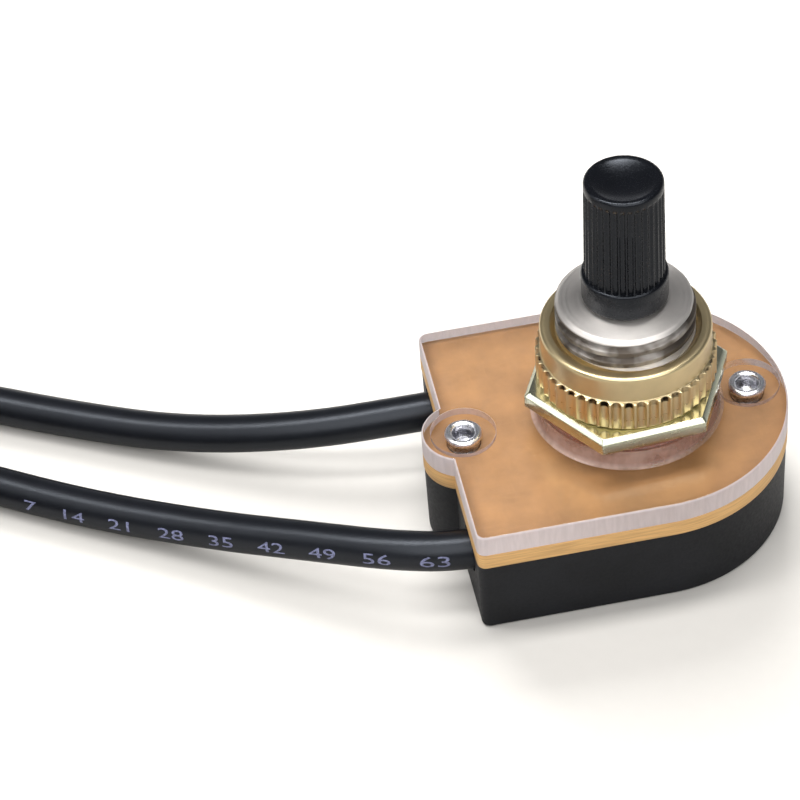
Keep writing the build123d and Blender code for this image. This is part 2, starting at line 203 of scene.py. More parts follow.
class KnobSizes(bpy.types.PropertyGroup):
    """Section and flutes of the knob."""
    flange_radius: length("Flange radius", "Radius of the plain foot", 2.95)
    flange_height: length("Flange height", "Height of the plain foot", 2.05)
    foot_radius: length("Body radius", "Radius of the fluted body at its foot", 2.74)
    top_radius: length("Top radius", "Radius of the fluted body at its top", 2.65)
    rim_height: length("Rim height", "Plain height above the flutes", 0.6)
    rim_radius: length("Rim radius", "Rounding of the top edge", 0.3)
    dish_radius: length("Dish radius", "Radius of the dish in the top", 2.25)
    dish_depth: length("Dish depth", "Depth of the dish in the top", 0.45)
    flute_count: count("Flutes", "Number of flutes round the body", 34)
    flute_radius: length("Flute radius", "Radius of each flute's section", 0.22)
    flute_depth: length("Flute depth", "How deep each flute is cut", 0.14)
    bore_radius: length("Bore radius", "Radius of the spindle's bore", 1.63)
    bore_flat: length("Bore flat", "Distance from the axis to the bore's flat", 1.13)
    bore_depth: length("Bore depth", "Depth of the spindle's bore", 7.03)


class LeadSizes(bpy.types.PropertyGroup):
    """The two leads, their stored turn and what is on them."""
    radius: length("Radius", "Radius of the insulation", 1.4)
    strand_radius: length("Strand bundle", "Radius of the bundle of bare strands", 0.6)
    strand_pitch: length("Strand pitch", "Length in which the strands twist once round", 9.0)
    coil_step: length("Coil step", "How far the stored turn winds inwards", 3.1)
    bare_circle: length("Bare circle", "Radius on which the bare ends lie", 10.2)
    bare_length: length("Bare length", "Length of each stripped end", 12.7)
    tie_thickness: length("Tie thickness", "Thickness of the tie's band", 0.35)
    tie_rounding: length("Tie rounding", "Rounding of the tie's four bends", 1.3)
    number_height: length("Number height", "Height of the printed numbers", 0.85)
    number_spread: factor("Number spread", "How wide the numbers are drawn", 1.75)
    number_angle: angle("Number angle", "How far above level the row of numbers lies on the lead", 13.0)
    number_start: length("Number start", "Distance from the lead's start to the row's end", 4.6)
    numbers: StringProperty(name="Numbers", description="Plain numbers printed along the front lead",
                            default="7   14   21   28   35   42   49   56   63")


class StageSettings(bpy.types.PropertyGroup):
    """Camera, floor and lights."""
    place: point("Camera place", "Where the camera stands", -34.71, -147.36, 152.95)
    aim: point("Camera aim", "The point in the middle of the picture", -15.42, 2.90, 10.0)
    roll: angle("Camera roll", "How far the camera is rolled about its view", -4.87)
    lens: FloatProperty(name="Lens", description="Focal length on a 36 mm sensor, in millimetres",
                        default=135.05, unit="CAMERA")
    floor_colour: colour("Floor", "Colour of the pale floor", 198, 195, 190)
    floor_mirrored: factor("Mirrored floor", "How bright the floor is in reflections", 0.6)
    floor_glow: factor("Floor glow", "How bright the far floor is by itself, past the lights", 0.85)
    key_power: power("Key light", "Power of the light high behind the object", 0.85)
    floor_power: power("Floor light", "Power of the light that falls on the floor only", 1.55)
    top_power: power("Top light", "Power of the strip light overhead", 1.0)
    fill_power: power("Fill light", "Power of the softbox over the camera", 1.15)
    card_power: power("Side card", "Power of the small card on the left", 0.25)
    sky: factor("Sky", "Brightness of the surroundings", 0.14)
    horizon: factor("Horizon", "Brightness of the glow along the far horizon", 0.8)


class Finishes(bpy.types.PropertyGroup):
    """Main colour of each finish."""
    moulding: colour("Moulding", "Black moulded cup", 21, 22, 26)
    fibre: colour("Fibre", "Face of the fibre plate", 190, 147, 94)
    fibre_edge: colour("Fibre edge", "Cut edge of the fibre plate", 206, 163, 106)
    cover: colour("Cover", "Tint of the clear cover", 252, 249, 250)
    frost: colour("Frosted edge", "Sawn edge of the clear cover", 192, 182, 184)
    # Pale skins on the boss's foot and the recess walls: partly frosting, partly painted highlights on the
    # fillet and the recess lips.
    ring_frost: colour("Frosted rings", "Boss and recess walls of the clear cover", 212, 180, 166)
    # The bore's skin is frosted, and its reddish tan is a painted reflection of the tan plate seen in it.
    bore: colour("Frosted bore", "Drilled bore of the clear cover", 236, 172, 146)
    nickel: colour("Nickel", "Plating of the bushing", 226, 221, 216)
    zinc: colour("Zinc", "Plating of the hex nut", 214, 215, 190)
    brass: colour("Brass", "Plating of the ring nut", 226, 206, 162)
    tin: colour("Tin", "Plating of the rivets", 244, 244, 248)
    knob: colour("Knob", "Black knob", 6, 7, 11)
    lead: colour("Lead", "Black insulation", 8, 9, 14)
    ink: colour("Ink", "Numbers on the front lead", 122, 126, 160)
    # Painted shade: near-black brown laid in the ring nut's notches, where shade falls at the top ends of the
    # grooves.
    grime: colour("Grime", "Dirt in the ring nut's notches", 26, 22, 16)
    # Nickel laid in patches over the bushing's visible thread, to make it darker.
    dull_nickel: colour("Dull nickel", "Darker patches on the bushing's thread", 110, 102, 94)
    # Painted shade: darker tin laid in each rivet's hollow near its floor, where shade falls.
    dull_tin: colour("Dull tin", "Painted shade in each rivet's hollow", 146, 146, 152)
    copper: colour("Tinned copper", "Bare strands", 215, 196, 180)
    tie: colour("Tie", "Nylon tie", 26, 26, 28)
    bronze: colour("Spring bronze", "Contact blades and bridge strip", 205, 150, 95)
    steel: colour("Steel", "Spindle", 170, 172, 176)
    washer: colour("Washer fibre", "Rotor and washer", 105, 103, 100)


class SwitchSettings(bpy.types.PropertyGroup):
    """All the settings of the switch."""
    plate: PointerProperty(type=PlateSizes)
    rivet: PointerProperty(type=RivetSizes)
    bushing: PointerProperty(type=BushingSizes)
    hex_nut: PointerProperty(type=HexNutSizes)
    ring_nut: PointerProperty(type=RingNutSizes)
    knob: PointerProperty(type=KnobSizes)
    lead: PointerProperty(type=LeadSizes)
    stage: PointerProperty(type=StageSettings)
    finish: PointerProperty(type=Finishes)


# Surfaces as arrays

def rounded_profile(corners, step):
    """Points along straight runs through (radius, height, rounding) corners, step apart at most.

    A corner becomes a quadratic arc between the two points that lie its rounding away from it along its runs.
    """
    corners = np.array(corners, float)
    places, rounding = corners[:, :2], corners[:, 2:]
    runs = np.diff(places, axis=0)
    directions = runs / np.linalg.norm(runs, axis=1, keepdims=True)
    before, after = places.copy(), places.copy()
    before[1:-1] -= directions[:-1] * rounding[1:-1]
    after[1:-1] += directions[1:] * rounding[1:-1]
    parts = [places[:1]]
    for i in range(1, len(places)):
        steps = max(1, math.ceil(np.linalg.norm(before[i] - after[i - 1]) / step))
        share = np.linspace(0, 1, steps + 1)[1:, None]
        parts.append(after[i - 1] + (before[i] - after[i - 1]) * share)
        if i < len(places) - 1 and rounding[i] > 0:
            share = np.linspace(0, 1, ARC_STEPS + 1)[1:, None]
            bend = 2 * share * (1 - share) * places[i]
            parts.append((1 - share) ** 2 * before[i] + bend + share ** 2 * after[i])
    return np.concatenate(parts)


def split(section):
    """Radii and heights of a section, as two columns."""
    return section[:, :1], section[:, 1:]


def turned(radius, height, angles, centre=(0.0, 0.0)):
    """Grid of points round an upright axis: one row a height, one column an angle, each at its radius."""
    radius, height, angles = np.broadcast_arrays(radius, height, angles)
    x, y = centre[0] + radius * np.cos(angles), centre[1] + radius * np.sin(angles)
    return np.stack([x, y, height], axis=-1)


def even_angles(number):
    """Angles evenly spaced round a turn."""
    return np.arange(number) * TURN / number


def groove_angles(number, radius, groove_radius, depth):
    """Angles round a turn with columns on both edges of every groove, across it and on the land beside it."""
    across_columns, land_columns = 9, 2
    centre = radius - depth + groove_radius
    half = math.acos((radius ** 2 + centre ** 2 - groove_radius ** 2) / (2 * radius * centre))
    across = np.linspace(-half, half, across_columns)
    land = np.linspace(half, TURN / number - half, land_columns + 2)[1:-1]
    return (even_angles(number)[:, None] + np.concatenate([across, land])).ravel()


def grooved(radius, angles, number, groove_radius, depth):
    """Radius of a drum with round grooves: the groove's circle where a ray meets it first, else the drum."""
    off = (angles * number / TURN + 0.5) % 1.0 - 0.5
    off = off * TURN / number
    centre = radius - depth + groove_radius
    reach = groove_radius ** 2 - (centre * np.sin(off)) ** 2
    cut_at = centre * np.cos(off) - np.sqrt(np.maximum(reach, 0.0))
    return np.where(reach > 0, np.minimum(radius, cut_at), radius)


def screw_thread(height, angles, crest, depth, pitch):
    """Radius of a right-hand thread: broad crests and rounded roots, whose phase climbs a pitch a turn."""
    groove_width, flank_width, fullness = 0.62, 0.5, 0.4
    phase = (height / pitch - angles / TURN) % 1.0
    fall = np.clip((groove_width - np.abs(2 * phase - 1)) / flank_width, 0.0, 1.0)
    return crest - depth * fall * (1 + fullness - fullness * fall)


def between_flats(radius, flat, angles):
    """Radius held inside two flats across X: a flat's distance over the cosine of the angle, where less."""
    return np.minimum(radius, flat / np.maximum(np.abs(np.cos(angles)), TINY))


def arc(centre_x, centre_y, radius, angles):
    """Points on a circle in a plane, at those angles."""
    return np.stack([centre_x + radius * np.cos(angles), centre_y + radius * np.sin(angles)], axis=1)


def stacked(rows):
    """Grid of points from rings in plan and their heights."""
    return np.stack([np.column_stack([ring, np.full(len(ring), height)]) for ring, height in rows])


def quads(points, around=True, along=False):
    """Points and four-sided faces of a grid. Around closes its columns into rings, and along its rows."""
    rows, columns = points.shape[:2]
    index = np.arange(rows * columns).reshape(rows, columns)
    if around:
        index = np.concatenate([index, index[:, :1]], axis=1)
    if along:
        index = np.concatenate([index, index[:1]], axis=0)
    faces = np.stack([index[:-1, :-1], index[:-1, 1:], index[1:, 1:], index[1:, :-1]], axis=-1)
    return points.reshape(-1, 3), faces.reshape(-1, 4)


# Meshes and objects

def mesh_of(name, surfaces):
    """One mesh of several surfaces, with the points that meet at poles and seams merged."""
    starts = np.cumsum([0] + [len(points) for points, faces in surfaces])
    points = np.concatenate([points for points, faces in surfaces])
    faces = np.concatenate([faces + start for (_, faces), start in zip(surfaces, starts)])
    mesh = bpy.data.meshes.new(name)
    mesh.from_pydata(points.tolist(), [], faces.tolist())
    weld(mesh, GRID_WELD)
    return mesh


def weld(mesh, reach):
    """Merges points that lie within a reach, takes out faces without area and shades the rest."""
    build = bmesh.new()
    build.from_mesh(mesh)
    bmesh.ops.remove_doubles(build, verts=build.verts, dist=reach)
    bmesh.ops.dissolve_degenerate(build, dist=reach, edges=build.edges)
    build.to_mesh(mesh)
    build.free()
    smooth(mesh)


def smooth(mesh):
    """Smooth shading with sharp edges where faces meet steeply."""
    mesh.shade_smooth()
    mesh.set_sharp_from_angle(angle=SHARP_ANGLE)


def points_of(mesh):
    """Places of a mesh's points."""
    points = np.empty(len(mesh.vertices) * 3)
    mesh.vertices.foreach_get("co", points)
    return points.reshape(-1, 3)


def new_object(name, data):
    """An object in the scene."""
    made = bpy.data.objects.new(name, data)
    bpy.context.scene.collection.objects.link(made)
    return made


def add_piece(name, data, body, slot, finish, *nodes):
    """An object that rides on a body and has a finish, and stands for the named CAD nodes. The record slot it
    is given is not used.
    """
    piece = new_object(name, data)
    data.materials.append(finish)
    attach(piece, body)
    if nodes:
        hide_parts(*nodes)
    return piece


def grid_piece(name, grids, body, slot, finish, *nodes, along=True):
    """A piece of grids that close round their columns, and along their rows unless these end in poles."""
    mesh = mesh_of(name, [quads(grid, True, along) for grid in grids])
    return add_piece(name, mesh, body, slot, finish, *nodes)


def drum(place, radius, bottom, top):
    """Closed upright cylinder to cut with: a rectangle turned round its side."""
    section = np.array([(0, bottom), (radius, bottom), (radius, top), (0, top)])
    return mesh_of("drum", [quads(turned(*split(section), even_angles(CIRCLE_STEPS), place))])


def cut(piece, cutter_mesh):
    """Takes the cutter's volume out of a piece, for good."""
    cutter = new_object("cutter", cutter_mesh)
    hole = piece.modifiers.new("hole", "BOOLEAN")
    hole.operation = "DIFFERENCE"
    hole.solver = "EXACT"
    hole.object = cutter
    bpy.context.view_layer.update()
    made = bpy.data.meshes.new_from_object(piece.evaluated_get(bpy.context.evaluated_depsgraph_get()))
    piece.modifiers.clear()
    old = piece.data
    piece.data = made
    made.name = piece.name
    bpy.data.meshes.remove(old)
    bpy.data.objects.remove(cutter)
    bpy.data.meshes.remove(cutter_mesh)
    weld(made, CUT_WELD)


# Shader nodes

def plug(tree, value, socket):
    """Links an output to a socket, or sets the socket's own value."""
    if isinstance(value, bpy.types.NodeSocket):
        tree.links.new(value, socket)
    else:
        socket.default_value = value


def add_node(tree, kind, inputs=None, **settings):
    """A node with its settings made and its named or numbered inputs plugged."""
    made = tree.nodes.new(kind)
    for key, value in settings.items():
        setattr(made, key, value)
    for key, value in (inputs or {}).items():
        plug(tree, value, made.inputs[key])
    return made


def noise(tree, vector, scale, detail=4.0, roughness=0.55, distortion=0.0):
    """Value of a noise texture."""
    made = add_node(tree, "ShaderNodeTexNoise", {"Vector": vector, "Scale": scale, "Detail": detail,
                                                 "Roughness": roughness, "Distortion": distortion})
    return made.outputs["Fac"]


def spread(tree, value, low_in, high_in, low_out=0.0, high_out=1.0):
    """A value carried from one range to another, and held inside it."""
    made = add_node(tree, "ShaderNodeMapRange", {"Value": value, "From Min": low_in, "From Max": high_in,
                                                 "To Min": low_out, "To Max": high_out})
    return made.outputs["Result"]


def math_node(tree, operation, first, second=0.0):
    """One step of arithmetic."""
    return add_node(tree, "ShaderNodeMath", {0: first, 1: second}, operation=operation).outputs[0]


def scaled(tree, vector, scale):
    """Coordinates stretched by a factor along each axis."""
    return add_node(tree, "ShaderNodeVectorMath", {0: vector, 1: scale}, operation="MULTIPLY").outputs[0]


def axes_of(tree, vector):
    """The three parts of a vector."""
    return add_node(tree, "ShaderNodeSeparateXYZ", {0: vector}).outputs


def axis_distance(tree, axes):
    """Distance from the upright axis."""
    squares = [math_node(tree, "MULTIPLY", axes[i], axes[i]) for i in (0, 1)]
    return math_node(tree, "SQRT", math_node(tree, "ADD", *squares))


def mix(tree, share, first, second):
    """A blend of two colours."""
    return add_node(tree, "ShaderNodeMix", {0: share, 6: first, 7: second}, data_type="RGBA").outputs[2]


def opaque(rgb, level=1.0):
    """A colour with its alpha, made lighter or darker by a factor."""
    return tuple(min(1.0, c * level) for c in rgb) + (1.0,)


def shade(tree, share, rgb, dark, light):
    """A blend between a darker and a lighter form of one colour."""
    return mix(tree, share, opaque(rgb, dark), opaque(rgb, light))


def bump(tree, height, strength, depth):
    """A normal tilted by a height."""
    made = add_node(tree, "ShaderNodeBump", {"Height": height, "Strength": strength, "Distance": depth})
    return made.outputs["Normal"]


def level_share(tree):
    """How level the surface lies: nothing where it is upright, one where it is flat."""
    upward = axes_of(tree, add_node(tree, "ShaderNodeNewGeometry").outputs["Normal"])[2]
    return spread(tree, math_node(tree, "ABSOLUTE", upward), 0.4, 0.9)


# Effects that several finishes share

def new_group(name, numbers, outputs):
    """An empty group with a vector and numbers going in and values coming out, and its two end nodes."""
    tree = bpy.data.node_groups.new(name, "ShaderNodeTree")
    tree.interface.new_socket(name="Vector", in_out="INPUT", socket_type="NodeSocketVector")
    for way, names in (("INPUT", numbers), ("OUTPUT", outputs)):
        for socket in names:
            tree.interface.new_socket(name=socket, in_out=way, socket_type="NodeSocketFloat")
    return tree, tree.nodes.new("NodeGroupInput").outputs, tree.nodes.new("NodeGroupOutput").inputs


def moulded_grain(name):
    """Fine grain and broad mottle of a moulded or extruded surface."""
    tree, inside, out = new_group(name, ["Scale"], ["Grain", "Mottle"])
    plug(tree, noise(tree, inside["Vector"], inside["Scale"], detail=6.0, roughness=0.6), out["Grain"])
    broad = noise(tree, inside["Vector"], math_node(tree, "MULTIPLY", inside["Scale"], 0.08), detail=3.0)
    plug(tree, spread(tree, broad, 0.3, 0.7), out["Mottle"])
    return tree


def turned_plating(name):
    """Fine rings left by turning, noise in the distance from the axis and the height, and cloudy plating."""
    tree, inside, out = new_group(name, ["Scale"], ["Rings", "Cloud"])
    axes = axes_of(tree, inside["Vector"])
    section = add_node(tree, "ShaderNodeCombineXYZ", {0: axis_distance(tree, axes), 1: axes[2]}).outputs[0]
    plug(tree, noise(tree, section, inside["Scale"], detail=3.0, roughness=0.7), out["Rings"])
    cloud = noise(tree, inside["Vector"], math_node(tree, "MULTIPLY", inside["Scale"], 0.06))
    plug(tree, spread(tree, cloud, 0.32, 0.68), out["Cloud"])
    return tree


def settled_dirt(name):
    """Darkening in patches, inside a radius from the upright axis and within reach of a height."""
    tree, inside, out = new_group(name, ["Scale", "Inner", "Outer", "Middle", "Reach"], ["Dirt"])
    axes = axes_of(tree, inside["Vector"])
    within = spread(tree, axis_distance(tree, axes), inside["Inner"], inside["Outer"], 1.0, 0.0)
    away = math_node(tree, "ABSOLUTE", math_node(tree, "SUBTRACT", axes[2], inside["Middle"]))
    faded = math_node(tree, "ADD", inside["Reach"], 0.1 * MM)
    beside = spread(tree, away, inside["Reach"], faded, 1.0, 0.0)
    patch = spread(tree, noise(tree, inside["Vector"], inside["Scale"], detail=3.0), 0.38, 0.56, 0.25, 1.0)
    plug(tree, math_node(tree, "MULTIPLY", patch, math_node(tree, "MULTIPLY", within, beside)), out["Dirt"])
    return tree


def pressed_fibres(name):
    """Short pressed fibres that lie in two directions, and the uneven colour of the sheet."""
    tree, inside, out = new_group(name, ["Scale"], ["Fibres", "Blotch"])
    lays = []
    for stretch in ((0.12, 1.0, 1.0), (1.0, 0.16, 1.0)):
        stretched = scaled(tree, inside["Vector"], stretch)
        lays.append(noise(tree, stretched, inside["Scale"], roughness=0.6, distortion=0.6))
    plug(tree, math_node(tree, "MAXIMUM", *lays), out["Fibres"])
    coarse = math_node(tree, "MULTIPLY", inside["Scale"], 0.11)
    blotch = noise(tree, inside["Vector"], coarse, detail=5.0, roughness=0.6)
    plug(tree, spread(tree, blotch, 0.3, 0.7), out["Blotch"])
    return tree


def place_group(tree, build, vector, **values):
    """A shared group placed in a material with its own values, and built when it is first needed."""
    name = build.__name__.replace("_", " ").capitalize()
    group = bpy.data.node_groups.get(name) or build(name)
    return add_node(tree, "ShaderNodeGroup", {"Vector": vector} | values, node_tree=group).outputs


# Finishes

def new_material(name, **values):
    """A material, its tree, its Principled shader with those plain values, and the object's coordinates."""
    made = bpy.data.materials.new(name)
    made.use_nodes = True
    tree = made.node_tree
    shader = tree.nodes["Principled BSDF"]
    for key, value in values.items():
        shader.inputs[key.replace("_", " ")].default_value = value
    return made, tree, shader.inputs, tree.nodes.new("ShaderNodeTexCoord").outputs["Object"]


def plastic(name, rgb, scale, rough, strength, **values):
    """Opaque plastic: fine grain in its bump and shine, mottle in its colour."""
    made, tree, shader, place = new_material(name, **values)
    grain = place_group(tree, moulded_grain, place, Scale=scale)
    plug(tree, shade(tree, grain["Mottle"], rgb, dark=0.8, light=1.3), shader["Base Color"])
    plug(tree, spread(tree, grain["Grain"], 0.3, 0.7, *rough), shader["Roughness"])
    plug(tree, bump(tree, grain["Grain"], strength, depth=0.02 * MM), shader["Normal"])
    return made


def metal(name, rgb, scale, rough, strength, dirt=None, **values):
    """Plated metal: turning rings in its bump and shine, cloudy colour, and where it is given a darker colour
    in patches: painted shade in the ring nut's notches and the rivets' hollows, darker patches on the
    bushing's thread.
    """
    made, tree, shader, place = new_material(name, Metallic=1.0, **values)
    plating = place_group(tree, turned_plating, place, Scale=scale)
    plated = shade(tree, plating["Cloud"], rgb, dark=0.86, light=1.06)
    if dirt:
        grime, limits = dirt
        patchy = place_group(tree, settled_dirt, place, **limits)
        plated = mix(tree, patchy["Dirt"], plated, opaque(grime))
    plug(tree, plated, shader["Base Color"])
    plug(tree, spread(tree, plating["Rings"], 0.3, 0.7, *rough), shader["Roughness"])
    plug(tree, bump(tree, plating["Rings"], strength, depth=0.01 * MM), shader["Normal"])
    return made


def pressed_sheet(name, face, edge):
    """Pressed fibre sheet: mottled face with faint fibres, and a cut edge that shows its layers."""
    made, tree, shader, place = new_material(name, Specular_IOR_Level=0.35)
    sheet = place_group(tree, pressed_fibres, place, Scale=2600.0)
    mottled = shade(tree, sheet["Blotch"], face, dark=0.78, light=1.14)
    faint = spread(tree, sheet["Fibres"], 0.55, 0.75, 0.0, 0.2)
    mottled = mix(tree, faint, mottled, opaque(face, 1.25))
    layers = noise(tree, scaled(tree, place, (0.04, 0.04, 1.0)), scale=9000.0, detail=3.0)
    layered = shade(tree, spread(tree, layers, 0.35, 0.65), edge, dark=0.82, light=1.12)
    plug(tree, mix(tree, level_share(tree), layered, mottled), shader["Base Color"])
    plug(tree, spread(tree, sheet["Blotch"], 0.0, 1.0, 0.5, 0.68), shader["Roughness"])
    plug(tree, bump(tree, sheet["Fibres"], strength=0.25, depth=0.02 * MM), shader["Normal"])
    return made


def clear_plastic(name, tint):
    """Clear moulded plastic: faintly wavy, hazier where upright, and open to light on its way elsewhere."""
    made, tree, shader, place = new_material(name, Transmission_Weight=1.0, IOR=1.49,
                                             Base_Color=opaque(tint))
    haze = spread(tree, noise(tree, place, scale=3800.0, detail=3.0), 0.35, 0.7, 0.1, 0.2)
    upright_haze = spread(tree, level_share(tree), 0.0, 1.0, 0.2, 0.0)
    plug(tree, math_node(tree, "ADD", haze, upright_haze), shader["Roughness"])
    waves = noise(tree, place, scale=420.0, detail=2.0)
    plug(tree, bump(tree, waves, strength=0.25, depth=0.05 * MM), shader["Normal"])
    path = tree.nodes.new("ShaderNodeLightPath").outputs
    scattered = math_node(tree, "MAXIMUM", path["Is Diffuse Ray"], path["Is Glossy Ray"])
    unseen = math_node(tree, "MAXIMUM", path["Is Shadow Ray"], scattered)
    passing = add_node(tree, "ShaderNodeBsdfTransparent", {"Color": opaque(tint, 0.92)}).outputs[0]
    solid = tree.nodes["Principled BSDF"].outputs[0]
    both = add_node(tree, "ShaderNodeMixShader", {0: unseen, 1: solid, 2: passing})
    plug(tree, both.outputs[0], tree.nodes["Material Output"].inputs["Surface"])
    return made


def frosted(name, rgb, patches=None, **values):
    """Cut plastic: pale and rough, with fine upright marks.

    Patches give its lowest and highest cover, which varies unevenly and is less towards the nose.
    """
    made, tree, shader, place = new_material(name, IOR=1.49, Roughness=0.45, **values)
    marks = noise(tree, scaled(tree, place, (1.0, 1.0, 0.15)), scale=3600.0)
    plug(tree, shade(tree, spread(tree, marks, 0.35, 0.65), rgb, dark=0.93, light=1.04), shader["Base Color"])
    plug(tree, bump(tree, marks, strength=0.12, depth=0.02 * MM), shader["Normal"])
    if patches:
        nearness = spread(tree, axes_of(tree, place)[0], -7.0 * MM, 3.0 * MM, 0.12, -0.12)
        uneven = math_node(tree, "ADD", noise(tree, place, scale=420.0, detail=3.0), nearness)
        plug(tree, spread(tree, uneven, 0.42, 0.66, *patches), shader["Alpha"])
    return made


def worn_print(name, rgb):
    """Thin ink that is worn through in places."""
    made, tree, shader, place = new_material(name, Roughness=0.45)
    wear = spread(tree, noise(tree, place, scale=7000.0), 0.42, 0.62)
    plug(tree, shade(tree, wear, rgb, dark=0.55, light=1.05), shader["Base Color"])
    return made


def dress(node, finish):
    """Gives a CAD node a finish in its own slots."""
    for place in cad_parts[node].material_slots:
        place.material = finish


class SwitchOperator(bpy.types.Operator):
    """Shared base of the switch's operators."""
    bl_options = {"REGISTER", "UNDO"}

    @property
    def settings(self):
        """The scene's settings of the switch."""
        return bpy.context.scene.rotary_switch


# Stage

class SWITCH_OT_stage(SwitchOperator):
    """Set up the camera, the pale floor, the lights and the surroundings."""
    bl_idname = "rotary_switch.stage"
    bl_label = "Stage"

    def execute(self, context):
        stage = self.settings.stage
        context.scene.camera = self.camera(stage)
        floor = self.floor(stage)
        key = self.light("key_light", stage.key_power, place=(-30, 263, 245), aim_x=-30, size=(240, 210))
        key.visible_glossy = False
        back = self.light("floor_light", stage.floor_power, place=(-30, 275, 230), aim_x=-30, size=(260, 230))
        back.visible_glossy = False
        back.light_linking.receiver_collection = bpy.data.collections.new("floor_only")
        back.light_linking.receiver_collection.objects.link(floor)
        self.light("top_strip", stage.top_power, place=(-60, 35, 335), aim_x=-60, size=(340, 60))
        self.light("fill_softbox", stage.fill_power, place=(-20, -215, 270), aim_x=-20, size=(520, 300))
        self.light("side_card", stage.card_power, place=(-390, 25, 240), aim_x=0, size=(220, 160))
        context.scene.world = self.surroundings(stage)
        context.scene.view_settings.view_transform = "Standard"
        return {"FINISHED"}

    def camera(self, stage):
        """Camera at its place, looking at its aim, then rolled about its view."""
        lens = bpy.data.cameras.new("camera")
        lens.lens = stage.lens
        lens.clip_start = 1 * MM
        eye = new_object("camera", lens)
        look = (Vector(stage.aim) - Vector(stage.place)).to_track_quat("-Z", "Y").to_matrix().to_4x4()
        eye.matrix_world = Matrix.Translation(stage.place) @ look @ Matrix.Rotation(stage.roll, 4, "Z")
        return eye

    def floor(self, stage):
        """Level sheet with a faint tooth, dimmer in reflections, and pale by itself far from the object."""
        half_side, below = 900 * MM, 0.01 * MM
        glow_start, glow_full = 120 * MM, 420 * MM
        side = np.linspace(-half_side, half_side, 3)
        x, y = np.meshgrid(side, side)
        sheet = np.stack([x, y, np.full_like(x, -below)], axis=-1)
        made, tree, shader, place = new_material("pale_floor", Roughness=0.75, Specular_IOR_Level=0.1,
                                                 Emission_Strength=1.0)
        tooth = spread(tree, noise(tree, place, scale=900.0, detail=3.0), 0.3, 0.7)
        plain = shade(tree, tooth, stage.floor_colour, dark=0.985, light=1.0)
        mirrored = tree.nodes.new("ShaderNodeLightPath").outputs["Is Glossy Ray"]
        dimmed = opaque(stage.floor_colour, stage.floor_mirrored)
        plug(tree, mix(tree, mirrored, plain, dimmed), shader["Base Color"])
        far = spread(tree, axis_distance(tree, axes_of(tree, place)), glow_start, glow_full)
        glow = shade(tree, far, stage.floor_colour, dark=0.0, light=stage.floor_glow)
        plug(tree, glow, shader["Emission Color"])
        mesh = mesh_of("floor", [quads(sheet, around=False)])
        mesh.materials.append(made)
        floor = new_object("floor", mesh)
        return floor

    def light(self, name, watts, place, aim_x, size, aim_z=5):
        """Soft rectangular light, placed and sized in millimetres, facing a place along the object's line."""
        lamp = bpy.data.lights.new(name, "AREA")
        lamp.shape = "RECTANGLE"
        lamp.size, lamp.size_y = size[0] * MM, size[1] * MM
        lamp.energy = watts
        made = new_object(name, lamp)
        made.location = Vector(place) * MM
        made.rotation_mode = "QUATERNION"
        aim = Vector((aim_x, 0, aim_z)) * MM
        made.rotation_quaternion = (aim - made.location).to_track_quat("-Z", "Y")
        return made

    def surroundings(self, stage):
        """Dim sky with a glow along the horizon, strongest on the far side."""
        world = bpy.data.worlds.new("surroundings")
        world.use_nodes = True
        tree = world.node_tree
        axes = axes_of(tree, tree.nodes.new("ShaderNodeTexCoord").outputs["Generated"])
        band = spread(tree, axes[2], 0.04, 0.22, stage.horizon, 0.0)
        glow = math_node(tree, "MULTIPLY", band, spread(tree, axes[1], -0.2, 0.6, 0.4, 1.0))
        sky = tree.nodes["Background"].inputs
        sky["Color"].default_value = (0.94, 0.96, 1.0, 1.0)
        plug(tree, math_node(tree, "ADD", glow, stage.sky), sky["Strength"])
        return world


# Leads. Bearings round the stored turn are in degrees.

COIL_START = 58.0                   # where the turn has its full radius
COIL_END = 430.0                    # where the insulation ends
COIL_SPACING = 20.0                 # between two control points
TIE_BEARING = 64.0                  # middle of the tie
TIE_HALF = 5.0                      # from there to the tie's edge
TIE_BEVEL = 0.4                     # of the tie's edge
TIE_RISE = 25.0                     # over which the leads rise to the tie's band
BARE_BEARINGS = range(86, 160, 12)  # control points of the bare ends
DIGIT_HEIGHT = 0.7                  # of a number, as a share of the type's size
INK_HALF = 0.004 * MM               # half of the ink's thickness
INK_LIFT = 0.005 * MM               # from the insulation to the ink's middle


def lead_routes(radius):
    """Control points of the two leads from their crimps to the coil."""
    start_x, side_y, exit_z = -9.5, 7.1, 4.45
    floor_z = radius / MM
    rear = [
        (start_x, side_y, exit_z),
        (-14.2, side_y, exit_z),
        (-22.0, 8.5, 3.25),
        (-30.5, 11.8, 1.85),
        (-38.5, 16.1, floor_z),
        (-46.5, 20.6, floor_z),
        (-54.5, 23.3, 1.6),
        (-62.0, 22.6, 2.6),
        (-68.6, 19.1, 4.35),
    ]
    front = [
        (start_x, -side_y, exit_z),
        (-13.4, -side_y, exit_z),
        (-17.6, -5.7, 4.15),
        (-23.2, -2.5, 3.3),
        (-30.0, 1.55, 2.1),
        (-38.5, 6.6, floor_z),
        (-47.3, 12.4, floor_z),
        (-55.8, 17.3, floor_z),
    ]
    return np.array(rear) * MM, np.array(front) * MM


def smooth_curve(name, points, radius):
    """A quadratic NURBS curve on those control points, with a round section."""
    curve = bpy.data.curves.new(name, "CURVE")
    curve.dimensions = "3D"
    spline = curve.splines.new("NURBS")
    spline.points.add(len(points) - 1)
    spline.points.foreach_set("co", np.column_stack([points, np.ones(len(points))]).ravel())
    spline.order_u = 3
    spline.use_endpoint_u = True
    curve.resolution_u = 10
    curve.bevel_depth = radius
    curve.bevel_resolution = 8
    curve.use_fill_caps = True
    return curve


